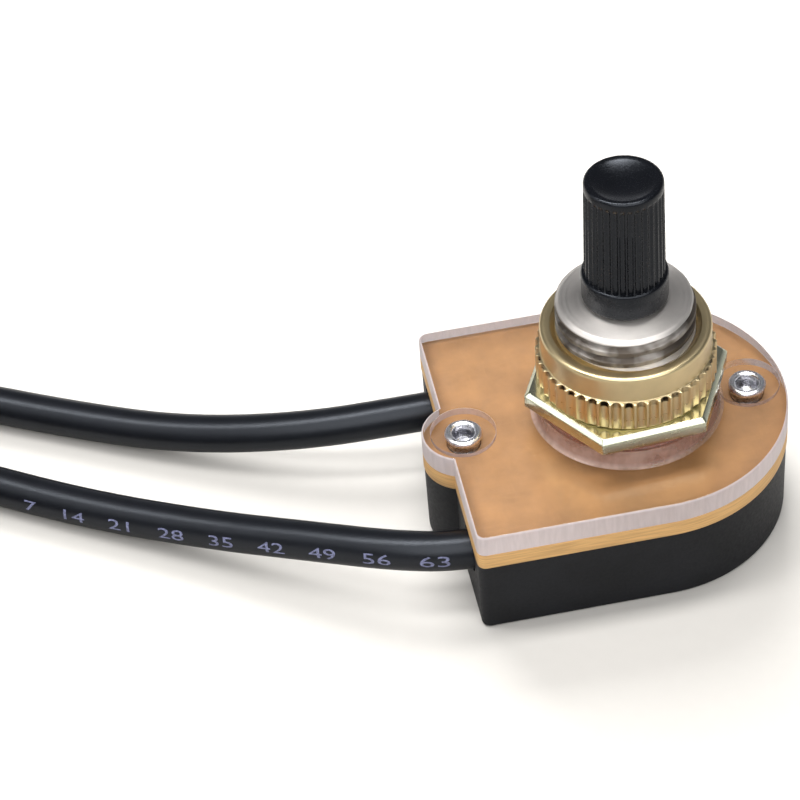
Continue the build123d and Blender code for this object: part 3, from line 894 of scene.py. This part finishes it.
def line_of(curve):
    """Points along a curve's own line, and their distances from its start."""
    bare = bpy.data.objects.new("bare_line", curve.copy())
    bare.data.bevel_depth = 0.0
    mesh = bpy.data.meshes.new_from_object(bare)
    points = points_of(mesh)
    bpy.data.meshes.remove(mesh)
    bpy.data.curves.remove(bare.data)
    steps = np.linalg.norm(np.diff(points, axis=0), axis=1)
    return points, np.concatenate([[0.0], np.cumsum(steps)])


def sample(values, along, at):
    """Rows of values, known at distances along a line, read at other distances."""
    return np.stack([np.interp(at, along, column) for column in values.T], axis=1)


def sides_of(points):
    """Unit vectors at each point of a line: level to its left, and square to that and to the line."""
    forward = np.gradient(points, axis=0)
    forward /= np.linalg.norm(forward, axis=1, keepdims=True)
    side = np.cross([0.0, 0.0, 1.0], forward)
    side /= np.linalg.norm(side, axis=1, keepdims=True)
    return side, np.cross(forward, side)


class SWITCH_OT_leads(SwitchOperator):
    """Lay the two leads along their routes, with their stored turn, tie, bare ends and numbers."""
    bl_idname = "rotary_switch.leads"
    bl_label = "Leads"

    def execute(self, context):
        sizes, finish = self.settings.lead, self.settings.finish
        coil_low, coil_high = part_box("lead_coil")
        self.centre = (coil_low + coil_high) / 2
        self.start_radius = (coil_high.x - coil_low.x) / 2 - sizes.radius
        rubber = plastic("black_lead", finish.lead, scale=7000.0, rough=(0.3, 0.4), strength=0.35,
                         Specular_IOR_Level=0.5, Specular_Tint=COOL_SHEEN)
        nylon = plastic("tie_nylon", finish.tie, scale=3000.0, rough=(0.35, 0.5), strength=0.15)
        copper = metal("tinned_copper", finish.copper, scale=9000.0, rough=(0.25, 0.4), strength=0.1)
        rear_route, front_route = lead_routes(sizes.radius)
        front = self.lead("front_lead", front_route, sizes.radius, rubber, "lead_front", "lead_coil")
        rear = self.lead("rear_lead", rear_route, 3 * sizes.radius, rubber, "lead_rear")
        numbers = self.numbers(sizes, front, worn_print("lead_print", finish.ink))
        tie = self.tie(sizes, coil_high.z - coil_low.z, nylon)
        strands = self.bare_ends(sizes, (front, rear), copper)
        line_of(front.data)[1][-1]
        line_of(rear.data)[1][-1]
        return {"FINISHED"}

    def beside_middle(self, bearing, radius, level):
        """The point at a bearing and a distance from the coil's middle."""
        turned_by = math.radians(bearing)
        x, y = self.centre.x + radius * math.cos(turned_by), self.centre.y + radius * math.sin(turned_by)
        return x, y, level

    def coil_point(self, bearing, level):
        """A point of the stored turn: its radius shrinks evenly with the bearing, and it rises at the tie."""
        sizes = self.settings.lead
        radius = self.start_radius - sizes.coil_step * (bearing - COIL_START) / 360.0
        off_tie = (bearing - TIE_BEARING + 180.0) % 360.0 - 180.0
        lift = sizes.tie_thickness * math.exp(-(off_tie / TIE_RISE) ** 2)
        return self.beside_middle(bearing, radius, level + lift)

    def lead(self, name, route, level, finish, *nodes):
        """A lead on its route's control points, wound on from its last one in even steps."""
        last = route[-1]
        start = math.degrees(math.atan2(last[1] - self.centre.y, last[0] - self.centre.x))
        bearings = [*np.arange(start + COIL_SPACING, COIL_END, COIL_SPACING), COIL_END]
        wound = [self.coil_point(bearing, level) for bearing in bearings]
        curve = smooth_curve(name, np.concatenate([route, wound]), self.settings.lead.radius)
        return add_piece(name, curve, "base", "black_lead", finish, *nodes)

    def flat_numbers(self, sizes):
        """The numbers as a thin mesh in plan, with edges short enough to bend."""
        text = bpy.data.curves.new("numbers", "FONT")
        text.body = sizes.numbers
        text.size = sizes.number_height / DIGIT_HEIGHT
        text.resolution_u = 3
        text.extrude = INK_HALF
        holder = bpy.data.objects.new("numbers", text)
        mesh = bpy.data.meshes.new_from_object(holder)
        bpy.data.objects.remove(holder)
        bpy.data.curves.remove(text)
        weld(mesh, GRID_WELD)
        longest, rounds = 0.22 * sizes.number_height, 3
        build = bmesh.new()
        build.from_mesh(mesh)
        bmesh.ops.triangulate(build, faces=build.faces)
        for _ in range(rounds):
            long_edges = [edge for edge in build.edges if edge.calc_length() > longest]
            bmesh.ops.subdivide_edges(build, edges=long_edges, cuts=1)
            bmesh.ops.triangulate(build, faces=build.faces)
        build.to_mesh(mesh)
        build.free()
        return mesh

    def numbers(self, sizes, lead, finish):
        """Numbers wrapped on the lead: width goes back along its line, height round it, depth outwards."""
        mesh = self.flat_numbers(sizes)
        flat = points_of(mesh)
        line, along = line_of(lead.data)
        side, up = sides_of(line)
        run = flat[:, 0] * sizes.number_spread
        at = sizes.number_start + run.max() - run
        middle, across, upright = (sample(values, along, at) for values in (line, side, up))
        lean = sizes.number_angle + (flat[:, 1:2] - sizes.number_height / 2) / sizes.radius
        outwards = np.cos(lean) * across + np.sin(lean) * upright
        wrapped = middle + (sizes.radius + INK_LIFT + flat[:, 2:]) * outwards
        mesh.vertices.foreach_set("co", wrapped.ravel())
        mesh.update()
        smooth(mesh)
        return add_piece("lead_numbers", mesh, "base", "black_lead", finish)

    def tie(self, sizes, coil_height, finish):
        """Flat band: a thin bevelled strip, carried round a rounded rectangle about the stored turn."""
        outer = self.start_radius + sizes.radius
        inner = self.start_radius - sizes.coil_step - sizes.radius
        half_width, half_height = (outer - inner) / 2, coil_height / 2
        rounding, thick, bevel = sizes.tie_rounding, sizes.tie_thickness, 0.1 * MM
        edge, shoulder = TIE_HALF, TIE_HALF - TIE_BEVEL
        strip = np.array([-edge, -edge, -shoulder, shoulder, edge, edge, shoulder, -shoulder])
        strip_out = np.array([bevel, thick - bevel, thick, thick, thick - bevel, bevel, 0.0, 0.0])[:, None]
        bend_points = 9
        around = np.radians((np.array([0, 90, 180, 270])[:, None] + np.linspace(0, 90, bend_points)).ravel())
        quarter = np.repeat([[1, 1], [-1, 1], [-1, -1], [1, -1]], bend_points, axis=0)
        across = (half_width - rounding) * quarter[:, 0] + (rounding + strip_out) * np.cos(around)
        lift = (half_height - rounding) * quarter[:, 1] + (rounding - thick + strip_out) * np.sin(around)
        points = turned((outer + inner) / 2 + across, half_height + thick / 2 + lift,
                        np.radians(TIE_BEARING + strip)[:, None], self.centre)
        return grid_piece("coil_tie_band", [points[::-1]], "base", "tie_nylon", finish, "coil_tie")

    def bare_line(self, sizes, lead, level):
        """Evenly spaced points of a bare end, from inside its insulation round to the coil's inner side."""
        inside, straight, steps = 0.6 * MM, 1.6 * MM, 60
        line, _ = line_of(lead.data)
        forward = (line[-1] - line[-2]) / np.linalg.norm(line[-1] - line[-2])
        bend = [line[-1] - inside * forward, line[-1] + straight * forward]
        bend += [self.beside_middle(bearing, sizes.bare_circle, level) for bearing in BARE_BEARINGS]
        guide = smooth_curve("bare_run", np.array(bend), 0.0)
        core, run = line_of(guide)
        bpy.data.curves.remove(guide)
        at = np.linspace(0, sizes.bare_length, steps)
        return sample(core, run, at), at

    def bare_ends(self, sizes, leads, finish):
        """Twisted strands: six round one, each a tube whose centre circles the bundle's line once a pitch."""
        strand, bundle_gap = sizes.strand_radius / 3, 0.2 * MM
        levels = (sizes.radius, sizes.radius + 2 * sizes.strand_radius + bundle_gap)
        ring = even_angles(8)[:, None, None]
        tubes = []
        for lead, level in zip(leads, levels):
            core, at = self.bare_line(sizes, lead, level)
            side, up = sides_of(core)
            section = strand * (np.cos(ring) * side + np.sin(ring) * up)
            for swing, start in [(0.0, 0.0), *((2 * strand, start) for start in even_angles(6))]:
                phase = (start + TURN * at / sizes.strand_pitch)[:, None]
                middle = core + swing * (np.cos(phase) * side + np.sin(phase) * up)
                ends = [np.repeat(middle[None, i:i + 1], len(ring), axis=1) for i in (0, len(middle) - 1)]
                tubes.append(np.concatenate([ends[0], (middle + section).transpose(1, 0, 2), ends[1]]))
        return grid_piece("bare_strands", tubes, "base", "tinned_copper", finish, "bare_ends", along=False)


# Cup, plates and rivets

NOSE_POINTS, SIDE_POINTS, CORNER_POINTS, TAIL_POINTS, EAR_POINTS = 72, 26, 9, 18, 30


class SWITCH_OT_housing(SwitchOperator):
    """Finish the black moulded cup."""
    bl_idname = "rotary_switch.housing"
    bl_label = "Housing"

    def execute(self, context):
        black = plastic("black_moulding", self.settings.finish.moulding, scale=4200.0, rough=(0.42, 0.58),
                        strength=0.3, Specular_IOR_Level=0.3)
        dress("housing", black)
        return {"FINISHED"}


def plate_outline(sizes, inset):
    """Points round the plate from its nose: half circle, side, round corner, tail and ear, then mirrored."""
    low_corner, high_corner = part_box("fibre_plate")
    nose_x = high_corner.x - sizes.half_width
    ear_radius = sizes.ear_x - low_corner.x - inset
    half, tail, corner = sizes.half_width - inset, sizes.tail_x + inset, sizes.corner_radius
    meet = math.atan2(math.sqrt(ear_radius ** 2 - (tail - sizes.ear_x) ** 2), tail - sizes.ear_x)
    nose = arc(nose_x, 0.0, half, np.linspace(0, QUARTER, NOSE_POINTS))
    side = np.linspace((nose_x, half), (tail + corner, half), SIDE_POINTS)[1:-1]
    bend = arc(tail + corner, half - corner, corner, np.linspace(QUARTER, np.pi, CORNER_POINTS))
    edge = np.linspace((tail, half - corner), (tail, ear_radius * math.sin(meet)), TAIL_POINTS)[1:-1]
    ear = arc(sizes.ear_x, 0.0, ear_radius, np.linspace(meet, np.pi, EAR_POINTS))
    upper = np.concatenate([nose, side, bend, edge, ear])
    return np.concatenate([upper, upper[-2:0:-1] * [1, -1]])


def over_edge(radius, top, angles):
    """Insets and heights over a rounded top edge: how far its circle stays inside the sharp corner."""
    return zip(radius * (1 - np.cos(angles)), top - radius * (1 - np.sin(angles)))


def up_fillet(radius, bottom, angles):
    """Insets and heights up a rounded lower edge or a fillet: over_edge turned upside down."""
    return zip(radius * (1 - np.sin(angles)), bottom + radius * (1 - np.cos(angles)))


def rivet_places(sizes):
    """Centres of the two rivets."""
    tail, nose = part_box("rivets")
    return (tail.x + sizes.head_radius, 0.0), (nose.x - sizes.head_radius, 0.0)


class SWITCH_OT_plates(SwitchOperator):
    """Build the fibre plate and the clear cover that lies on it."""
    bl_idname = "rotary_switch.plates"
    bl_label = "Plates"

    def execute(self, context):
        sizes, finish = self.settings.plate, self.settings.finish
        bottom, crown = low("cover_plate"), high("cover_plate")
        top = bottom + sizes.cover_thickness
        recess = top - sizes.recess_depth
        tan = pressed_sheet("tan_fibre", finish.fibre, finish.fibre_edge)
        sheet = grid_piece("fibre_sheet", [self.sheet(sizes)], "base", "tan_fibre", tan, "fibre_plate")
        clear = clear_plastic("clear_plastic", finish.cover)
        cover = [self.cover(sizes, top)]
        cover = grid_piece("clear_cover", cover, "base", "clear_plastic", clear, "cover_plate")
        # The boss's foot band and the recess walls get pale skins that stand for frosting and for painted
        # highlights on the fillet and lips.
        rings = [self.foot(sizes, top)]
        for place in rivet_places(self.settings.rivet):
            for plate in (sheet, cover):
                cut(plate, drum(place, sizes.rivet_hole, low("fibre_plate") - MM, top + MM))
            cut(cover, drum(place, sizes.recess_radius, recess, top + sizes.boss_root))
            rings.append(self.wall(sizes, sizes.recess_radius, recess, top, place))
        bore = self.wall(sizes, sizes.hole_radius, bottom, crown)
        glow = {"Subsurface_Weight": 0.4, "Subsurface_Scale": 0.5 * MM, "Subsurface_Radius": (1.0, 1.0, 1.0)}
        skins = {
            "frosted_edge": ([self.skin(sizes, top)], finish.frost, glow),
            "frosted_and_highlight_rings": (rings, finish.ring_frost, glow | {"patches": (0.15, 0.6)}),
            # Frosted bore whose reddish tan colour is a painted reflection of the tan plate.
            "frosted_bore_plate_reflection": ([bore], finish.bore, {"Transmission_Weight": 0.3}),
        }
        for name, (grids, rgb, values) in skins.items():
            grid_piece(name, grids, "base", "clear_plastic", frosted(name, rgb, **values))
        return {"FINISHED"}

    def outlines(self, sizes, rows):
        """Rings round the plate at those insets and heights."""
        return [(plate_outline(sizes, inset), height) for inset, height in rows]

    def hole(self, rim, radius, flat=math.inf):
        """Points round the bushing's hole at the rim's own bearings, held inside two flats if it has them."""
        bearing = np.arctan2(rim[:, 1], rim[:, 0])
        return arc(0.0, 0.0, between_flats(radius, flat, bearing), bearing)

    def sheet(self, sizes):
        """Rows from the hole out over the underside, up the rounded edge and in over the top to the hole."""
        bottom, top = low("fibre_plate"), high("fibre_plate") - sizes.air_gap
        edge = sizes.edge_radius
        inner = self.hole(plate_outline(sizes, 0.0), sizes.hole_radius, sizes.hole_flat)
        drawn_in = plate_outline(sizes, edge)
        face_rows, edge_rows = 6, 4
        face = [inner + (drawn_in - inner) * share for share in np.linspace(0, 1, face_rows)]
        turn = np.linspace(0, QUARTER, edge_rows)
        under = self.outlines(sizes, up_fillet(edge, bottom, turn[1:]))
        over = self.outlines(sizes, over_edge(edge, top, turn[:-1]))
        underside, upside = [(ring, bottom) for ring in face], [(ring, top) for ring in face[::-1]]
        return stacked(underside + under + over + upside)

    def cover(self, sizes, top):
        """Rows from the hole out over the underside, up the edge, in over the top and boss to the hole."""
        bottom, crown = low("cover_plate"), high("cover_plate")
        rim = plate_outline(sizes, 0.0)
        boss, root, edge, frost = sizes.boss_radius, sizes.boss_root, sizes.cover_edge, sizes.frost
        past, edge_rows = 0.02 * MM, 5
        turn = np.linspace(0, QUARTER, edge_rows)
        over = [(frost + inset, height) for inset, height in over_edge(edge, top, turn)]
        outer = self.outlines(sizes, [(frost, bottom), *over, (frost + edge + past, top)])
        foot = [(boss + root + past, top)]
        foot += [(boss + inset, height) for inset, height in up_fillet(root, top, turn)]
        head = [(boss - inset, height) for inset, height in over_edge(sizes.boss_edge, crown, turn)]
        on_boss = [(self.hole(rim, radius), height) for radius, height in foot + head]
        bore = self.hole(rim, sizes.hole_radius)
        return stacked([(bore, bottom), *outer, *on_boss, (bore, crown)])

    def skin(self, sizes, top):
        """Thin closed band up the cover's edge, over most of its rounding, and back a little further in."""
        lift, most, edge_rows, thickness = 0.01 * MM, 1.3, 5, 0.6 * sizes.frost
        over = over_edge(sizes.cover_edge, top, np.linspace(0, most, edge_rows))
        rows = [(0.0, low("cover_plate") + lift), *over]
        back = [(inset + thickness, height) for inset, height in rows[::-1]]
        return stacked(self.outlines(sizes, rows + back))

    def foot(self, sizes, top):
        """Thin closed band up the fillet at the boss's foot and its wall: an arc and a line, up and back. Its
        pale colour is partly frosting and partly a painted highlight on the fillet.
        """
        root, start, arc_points, columns = sizes.boss_root, 0.2, 8, 144
        turn = np.append(np.linspace(start, QUARTER, arc_points), QUARTER)
        lift = np.append(np.zeros(arc_points), high("cover_plate") - sizes.boss_edge - top - root)
        sides = []
        for reach in (root - sizes.frost, root - 0.2 * sizes.frost):
            radius = sizes.boss_radius + root - reach * np.sin(turn)
            sides.append(np.stack([radius, top + root - reach * np.cos(turn) + lift], axis=1))
        return turned(*split(np.concatenate([sides[0], sides[1][::-1]])), even_angles(columns))

    def wall(self, sizes, radius, bottom, top, centre=(0.0, 0.0)):
        """Thin closed band inside a round hole: a narrow rectangle turned round the hole's centre."""
        outer, inner = radius - 0.2 * sizes.frost, radius - 0.8 * sizes.frost
        end_gap = 0.02 * MM
        low_edge, high_edge = bottom + end_gap, top - end_gap
        section = np.array([(outer, low_edge), (outer, high_edge), (inner, high_edge), (inner, low_edge)])
        return turned(*split(section), even_angles(CIRCLE_STEPS), centre)


class SWITCH_OT_rivets(SwitchOperator):
    """Build the two tubular rivets with their rolled beads."""
    bl_idname = "rotary_switch.rivets"
    bl_label = "Rivets"

    def execute(self, context):
        sizes, finish = self.settings.rivet, self.settings.finish
        phases = 0.4, 2.2
        rivets = [self.rivet(sizes, place, phase) for place, phase in zip(rivet_places(sizes), phases)]
        # Painted shade: the tin is darker in patches within reach of each hollow's floor, where shade falls.
        hollow = {"Scale": 900.0, "Inner": 1.0, "Outer": 2.0, "Middle": high("rivets") - sizes.hollow_depth,
                  "Reach": 0.85 * MM}
        tin = metal("bright_tin", finish.tin, scale=5200.0, rough=(0.22, 0.34), strength=0.12,
                    dirt=(finish.dull_tin, hollow))
        grid_piece("rolled_rivets", rivets, "base", "bright_tin", tin, "rivets", along=False)
        return {"FINISHED"}

    def rivet(self, sizes, place, phase):
        """Turned section from the flat head up the shank, over the bead and down the hollow.

        The bead strays a little from round as two slow waves in the angle.
        """
        base, bead_level = low("rivets"), high("rivets") - sizes.bead_radius
        head_top, shank_top = base + sizes.head_height, bead_level - 0.85 * sizes.bead_radius
        hollow = sizes.bead_circle - sizes.bead_radius
        foot = bead_level + sizes.bead_radius - sizes.hollow_depth
        shank = [(0, base, 0), (sizes.head_radius, base, 0.12 * MM), (sizes.head_radius, head_top, 0.1 * MM),
                 (sizes.shank_radius, head_top, 0), (sizes.shank_radius, shank_top, 0)]
        roll = np.radians(np.linspace(-50, 175, 19))
        bead = arc(sizes.bead_circle, bead_level, sizes.bead_radius, roll)
        tube = [(hollow, bead_level - 0.1 * MM, 0), (hollow * 0.93, foot + 0.3 * MM, 0.2 * MM), (0, foot, 0)]
        section = [rounded_profile(shank, step=0.6 * MM), bead, rounded_profile(tube, step=0.3 * MM)]
        radius, height = split(np.concatenate(section))
        angles = even_angles(72)
        wave = np.sin(3 * angles + phase) + 0.6 * np.sin(7 * angles - 2 * phase)
        on_bead = np.exp(-((height - bead_level) / sizes.bead_radius) ** 2) * (radius > hollow * 0.99)
        return turned(radius + sizes.unevenness * on_bead * wave, height, angles, place)


# Bushing, nuts and knob

class SWITCH_OT_bushing(SwitchOperator):
    """Build the threaded bushing."""
    bl_idname = "rotary_switch.bushing"
    bl_label = "Bushing"

    def execute(self, context):
        sizes, finish = self.settings.bushing, self.settings.finish
        rows_a_turn, columns = 14, 216
        radius, height = split(rounded_profile(self.corners(sizes), sizes.pitch / rows_a_turn))
        angles = even_angles(columns)
        thread = screw_thread(height, angles, sizes.crest_radius, sizes.thread_depth, sizes.pitch)
        deepest = sizes.crest_radius - 1.3 * max(sizes.thread_depth, sizes.chamfer)
        on_thread = (height > low("fibre_plate")) & (radius > deepest)
        shaped = np.where(on_thread, np.minimum(radius, thread), radius)
        in_plate = on_thread & (height < high("fibre_plate"))
        shaped = np.where(in_plate, between_flats(shaped, sizes.flat, angles), shaped)
        free = (high("bushing") - sizes.chamfer - high("ring_nut")) / 2
        # The thread between the ring nut and the chamfer is darker in patches.
        thread_darkening = {"Scale": 330.0, "Inner": sizes.crest_radius, "Outer": sizes.crest_radius + sizes.thread_depth,
                "Middle": high("ring_nut") + free, "Reach": free}
        nickel = metal("nickel", finish.nickel, scale=5200.0, rough=(0.46, 0.6), strength=0.3,
                       dirt=(finish.dull_nickel, thread_darkening), Anisotropic=0.62, Anisotropic_Rotation=0.25)
        tree = nickel.node_tree
        marks = add_node(tree, "ShaderNodeTangent", direction_type="RADIAL", axis="Z").outputs[0]
        plug(tree, marks, tree.nodes["Principled BSDF"].inputs["Tangent"])
        grid_piece("threaded_bushing", [turned(shaped, height, angles)], "base", "nickel", nickel, "bushing")
        return {"FINISHED"}

    def corners(self, sizes):
        """Corners of the section from the bore's foot, out round the flange, up the thread and in again."""
        bottom, top, plate = low("bushing"), high("bushing"), low("fibre_plate")
        flange, crest, bore = sizes.flange_radius, sizes.crest_radius, sizes.bore_radius
        return [(bore, bottom, 0), (flange, bottom, 0.1 * MM), (flange, plate, 0.05 * MM), (crest, plate, 0),
                (crest, top - sizes.chamfer, 0.05 * MM), (crest - sizes.chamfer, top, 0.12 * MM),
                (bore + sizes.bore_chamfer, top, 0.04 * MM), (bore, top - sizes.bore_chamfer, 0)]


def threaded_bore(bushing, bottom, top, angles):
    """Rows down a nut's bore, parallel to the bushing's thread and a little outside it."""
    rows_a_turn = 12
    height = np.linspace(top, bottom, math.ceil((top - bottom) / bushing.pitch * rows_a_turn))[:, None]
    radius = screw_thread(height, angles, bushing.crest_radius, bushing.thread_depth, bushing.pitch)
    return radius + bushing.thread_play, height


class SWITCH_OT_hex_nut(SwitchOperator):
    """Build the thin hex nut."""
    bl_idname = "rotary_switch.hex_nut"
    bl_label = "Hex nut"

    # Rows over the top bevel: how far in from the side and how far under the top, in widths of the bevel
    over_bevel = (0.0, 1.1), (0.03, 0.99), (0.1, 0.9), (0.9, 0.1), (0.99, 0.03), (1.1, 0.0), (1.3, 0.0)

    def execute(self, context):
        sizes, bushing = self.settings.hex_nut, self.settings.bushing
        bottom, top = low("hex_nut") + sizes.seat_gap, high("hex_nut")
        round_corner, along_flat = np.linspace(-2.2, 2.2, 7), np.linspace(5, 55, 11)
        sixth = np.radians(np.concatenate([round_corner, along_flat]))
        angles = (sixth + even_angles(6)[:, None]).ravel() + sizes.turn
        bevel = sizes.edge_bevel
        rows = [(bevel / 2, bottom), (0.0, bottom + bevel / 2)]
        rows += [(inset * bevel, top - drop * bevel) for inset, drop in self.over_bevel]
        sides = [self.hexagon(sizes, inset, angles) for inset, _ in rows]
        heights = [height for _, height in rows]
        mouth = np.full_like(angles, bushing.crest_radius + sizes.mouth)
        bore, bore_height = threaded_bore(bushing, bottom, top - sizes.mouth_depth, angles)
        radius = np.concatenate([sides, [mouth], bore])
        height = np.concatenate([np.array(heights + [top])[:, None], bore_height])
        zinc = metal("yellow_zinc", self.settings.finish.zinc, scale=4200.0, rough=(0.16, 0.3), strength=0.2)
        grid_piece("thin_hex_nut", [turned(radius, height, angles)], "base", "yellow_zinc", zinc, "hex_nut")
        return {"FINISHED"}

    def hexagon(self, sizes, inset, angles):
        """Distance to a hexagon's side along each angle, or to the small circle of a corner close to it."""
        half_side = np.pi / 6
        apothem = sizes.across_flats / 2 - inset
        off = (angles - sizes.turn + half_side) % (2 * half_side) - half_side
        flat = apothem / np.cos(np.abs(off) - half_side)
        centre = (apothem - sizes.corner_radius) / math.cos(half_side)
        reach = np.maximum(sizes.corner_radius ** 2 - (centre * np.sin(off)) ** 2, 0.0)
        tangent = math.atan2(sizes.corner_radius / 2, centre + sizes.corner_radius * math.cos(half_side))
        return np.where(np.abs(off) < tangent, centre * np.cos(off) + np.sqrt(reach), flat)


class SWITCH_OT_ring_nut(SwitchOperator):
    """Build the knurled ring nut."""
    bl_idname = "rotary_switch.ring_nut"
    bl_label = "Ring nut"

    def execute(self, context):
        sizes, finish, bushing = self.settings.ring_nut, self.settings.finish, self.settings.bushing
        bottom, top = low("ring_nut"), high("ring_nut")
        knurl, knurl_top = sizes.knurl_radius, bottom + sizes.knurl_height
        bore = bushing.crest_radius + bushing.thread_play
        edge = 0.05 * MM
        corners = [(bore, bottom, 0), (knurl - sizes.foot_chamfer, bottom, edge),
                   (knurl, bottom + sizes.foot_chamfer, edge), (knurl, knurl_top - sizes.shoulder, edge),
                   (sizes.collar_radius, knurl_top, 0.06 * MM), (sizes.collar_radius, top, sizes.collar_edge),
                   (bore + sizes.mouth, top, edge), (bore, top - sizes.mouth, 0)]
        radius, height = split(rounded_profile(corners, step=0.1 * MM))
        angles = groove_angles(sizes.groove_count, knurl, sizes.groove_radius, sizes.groove_depth)
        groove = grooved(knurl, angles, sizes.groove_count, sizes.groove_radius, sizes.groove_depth)
        thread, thread_height = threaded_bore(bushing, bottom, top - sizes.mouth, angles)
        radius = np.concatenate([np.minimum(radius, groove), thread])
        grid = turned(radius, np.concatenate([height, thread_height]), angles)
        # Painted shade: the brass turns near black in patches at the top ends of the grooves, in the notches
        # under the collar where shade falls.
        notches = {"Scale": 900.0, "Inner": knurl - 0.2 * MM, "Outer": knurl - 0.08 * MM,
                   "Middle": knurl_top - 0.26 * MM, "Reach": 0.16 * MM}
        brass = metal("pale_brass", finish.brass, scale=4600.0, rough=(0.26, 0.4), strength=0.12,
                      dirt=(finish.grime, notches))
        grid_piece("knurled_ring_nut", [grid], "ring_nut", "pale_brass", brass, "ring_nut")
        return {"FINISHED"}


class SWITCH_OT_knob(SwitchOperator):
    """Build the fluted knob."""
    bl_idname = "rotary_switch.knob"
    bl_label = "Knob"

    def execute(self, context):
        sizes = self.settings.knob
        base, top = low("knob"), high("knob")
        roof, foot, flute_top = base + sizes.bore_depth, base + sizes.flange_height, top - sizes.rim_height
        corners = [(0, roof, 0), (sizes.bore_radius, roof, 0), (sizes.bore_radius, base, 0),
                   (sizes.flange_radius, base, 0.15 * MM), (sizes.flange_radius, foot, 0.25 * MM),
                   (sizes.foot_radius, foot, 0.06 * MM), (sizes.top_radius, top, sizes.rim_radius),
                   (sizes.dish_radius, top, 0)]
        share = np.linspace(1, 0, 16)[1:]
        dish = np.stack([sizes.dish_radius * share, top - sizes.dish_depth * (1 - share ** 2)], axis=1)
        radius, height = split(np.concatenate([rounded_profile(corners, step=0.15 * MM), dish]))
        angles = groove_angles(sizes.flute_count, sizes.foot_radius, sizes.flute_radius, sizes.flute_depth)
        in_bore = (radius <= sizes.bore_radius) & (height <= roof)
        facing, least = np.cos(angles), 0.01
        flat = np.where(facing > least, sizes.bore_flat / np.maximum(facing, least), np.inf)
        shaped = np.where(in_bore, np.minimum(radius, flat), radius)
        fluted = grooved(radius, angles, sizes.flute_count, sizes.flute_radius, sizes.flute_depth)
        top_fade, foot_fade = 0.25 * MM, 0.02 * MM
        fade = np.clip((flute_top - height) / top_fade, 0.0, 1.0)
        fade = fade * np.clip((height - foot) / foot_fade, 0.0, 1.0)
        on_body = radius > sizes.top_radius - 0.1 * MM
        shaped = np.where(on_body, radius - (radius - fluted) * fade, shaped)
        black = plastic("black_knob", self.settings.finish.knob, scale=5200.0, rough=(0.2, 0.3),
                        strength=0.05, Specular_IOR_Level=0.4, Specular_Tint=COOL_SHEEN)
        grid = turned(shaped, height, angles)
        grid_piece("fluted_knob", [grid], "turning_parts", "black_knob", black, "knob", along=False)
        return {"FINISHED"}


class SWITCH_OT_inner_parts(SwitchOperator):
    """Finish the spindle, rotor, washer, contact blades and strands inside."""
    bl_idname = "rotary_switch.inner_parts"
    bl_label = "Inner parts"

    def execute(self, context):
        finish = self.settings.finish
        steel = metal("steel", finish.steel, scale=5200.0, rough=(0.2, 0.38), strength=0.3)
        copper = metal("crimped_copper", finish.copper, scale=9000.0, rough=(0.25, 0.4), strength=0.2)
        bronze = metal("spring_bronze", finish.bronze, scale=4200.0, rough=(0.25, 0.4), strength=0.2)
        grey = plastic("grey_fibre", finish.washer, scale=4200.0, rough=(0.55, 0.75), strength=0.4)
        finishes = {"spindle": steel, "lead_strands": copper, "rotor": grey, "thrust_washer": grey,
                    "contact_blade_rear": bronze, "contact_blade_front": bronze, "bridge_strip": bronze}
        for node, made in finishes.items():
            dress(node, made)
        return {"FINISHED"}


# Add-on

OPERATORS = (SWITCH_OT_stage, SWITCH_OT_leads, SWITCH_OT_housing, SWITCH_OT_plates, SWITCH_OT_rivets,
             SWITCH_OT_bushing, SWITCH_OT_hex_nut, SWITCH_OT_ring_nut, SWITCH_OT_knob, SWITCH_OT_inner_parts)


class SWITCH_PT_panel(bpy.types.Panel):
    """Lists the switch's operators in the sidebar."""
    bl_idname = "SWITCH_PT_panel"
    bl_label = "Rotary lamp switch"
    bl_space_type = "VIEW_3D"
    bl_region_type = "UI"
    bl_category = "Switch"

    def draw(self, context):
        for operator in OPERATORS:
            self.layout.operator(operator.bl_idname)


CLASSES = (PlateSizes, RivetSizes, BushingSizes, HexNutSizes, RingNutSizes, KnobSizes, LeadSizes,
           StageSettings, Finishes, SwitchSettings, *OPERATORS, SWITCH_PT_panel)


def register():
    """Registers the classes and hangs the settings on the scene."""
    for made in CLASSES:
        bpy.utils.register_class(made)
    bpy.types.Scene.rotary_switch = PointerProperty(type=SwitchSettings)


def unregister():
    """Takes the settings and the classes away again."""
    del bpy.types.Scene.rotary_switch
    for made in reversed(CLASSES):
        bpy.utils.unregister_class(made)


def main():
    """Builds every piece in order."""
    register()
    for operator in OPERATORS:
        group, name = operator.bl_idname.split(".")
        getattr(getattr(bpy.ops, group), name)()


if __name__ == "__main__":
    main()
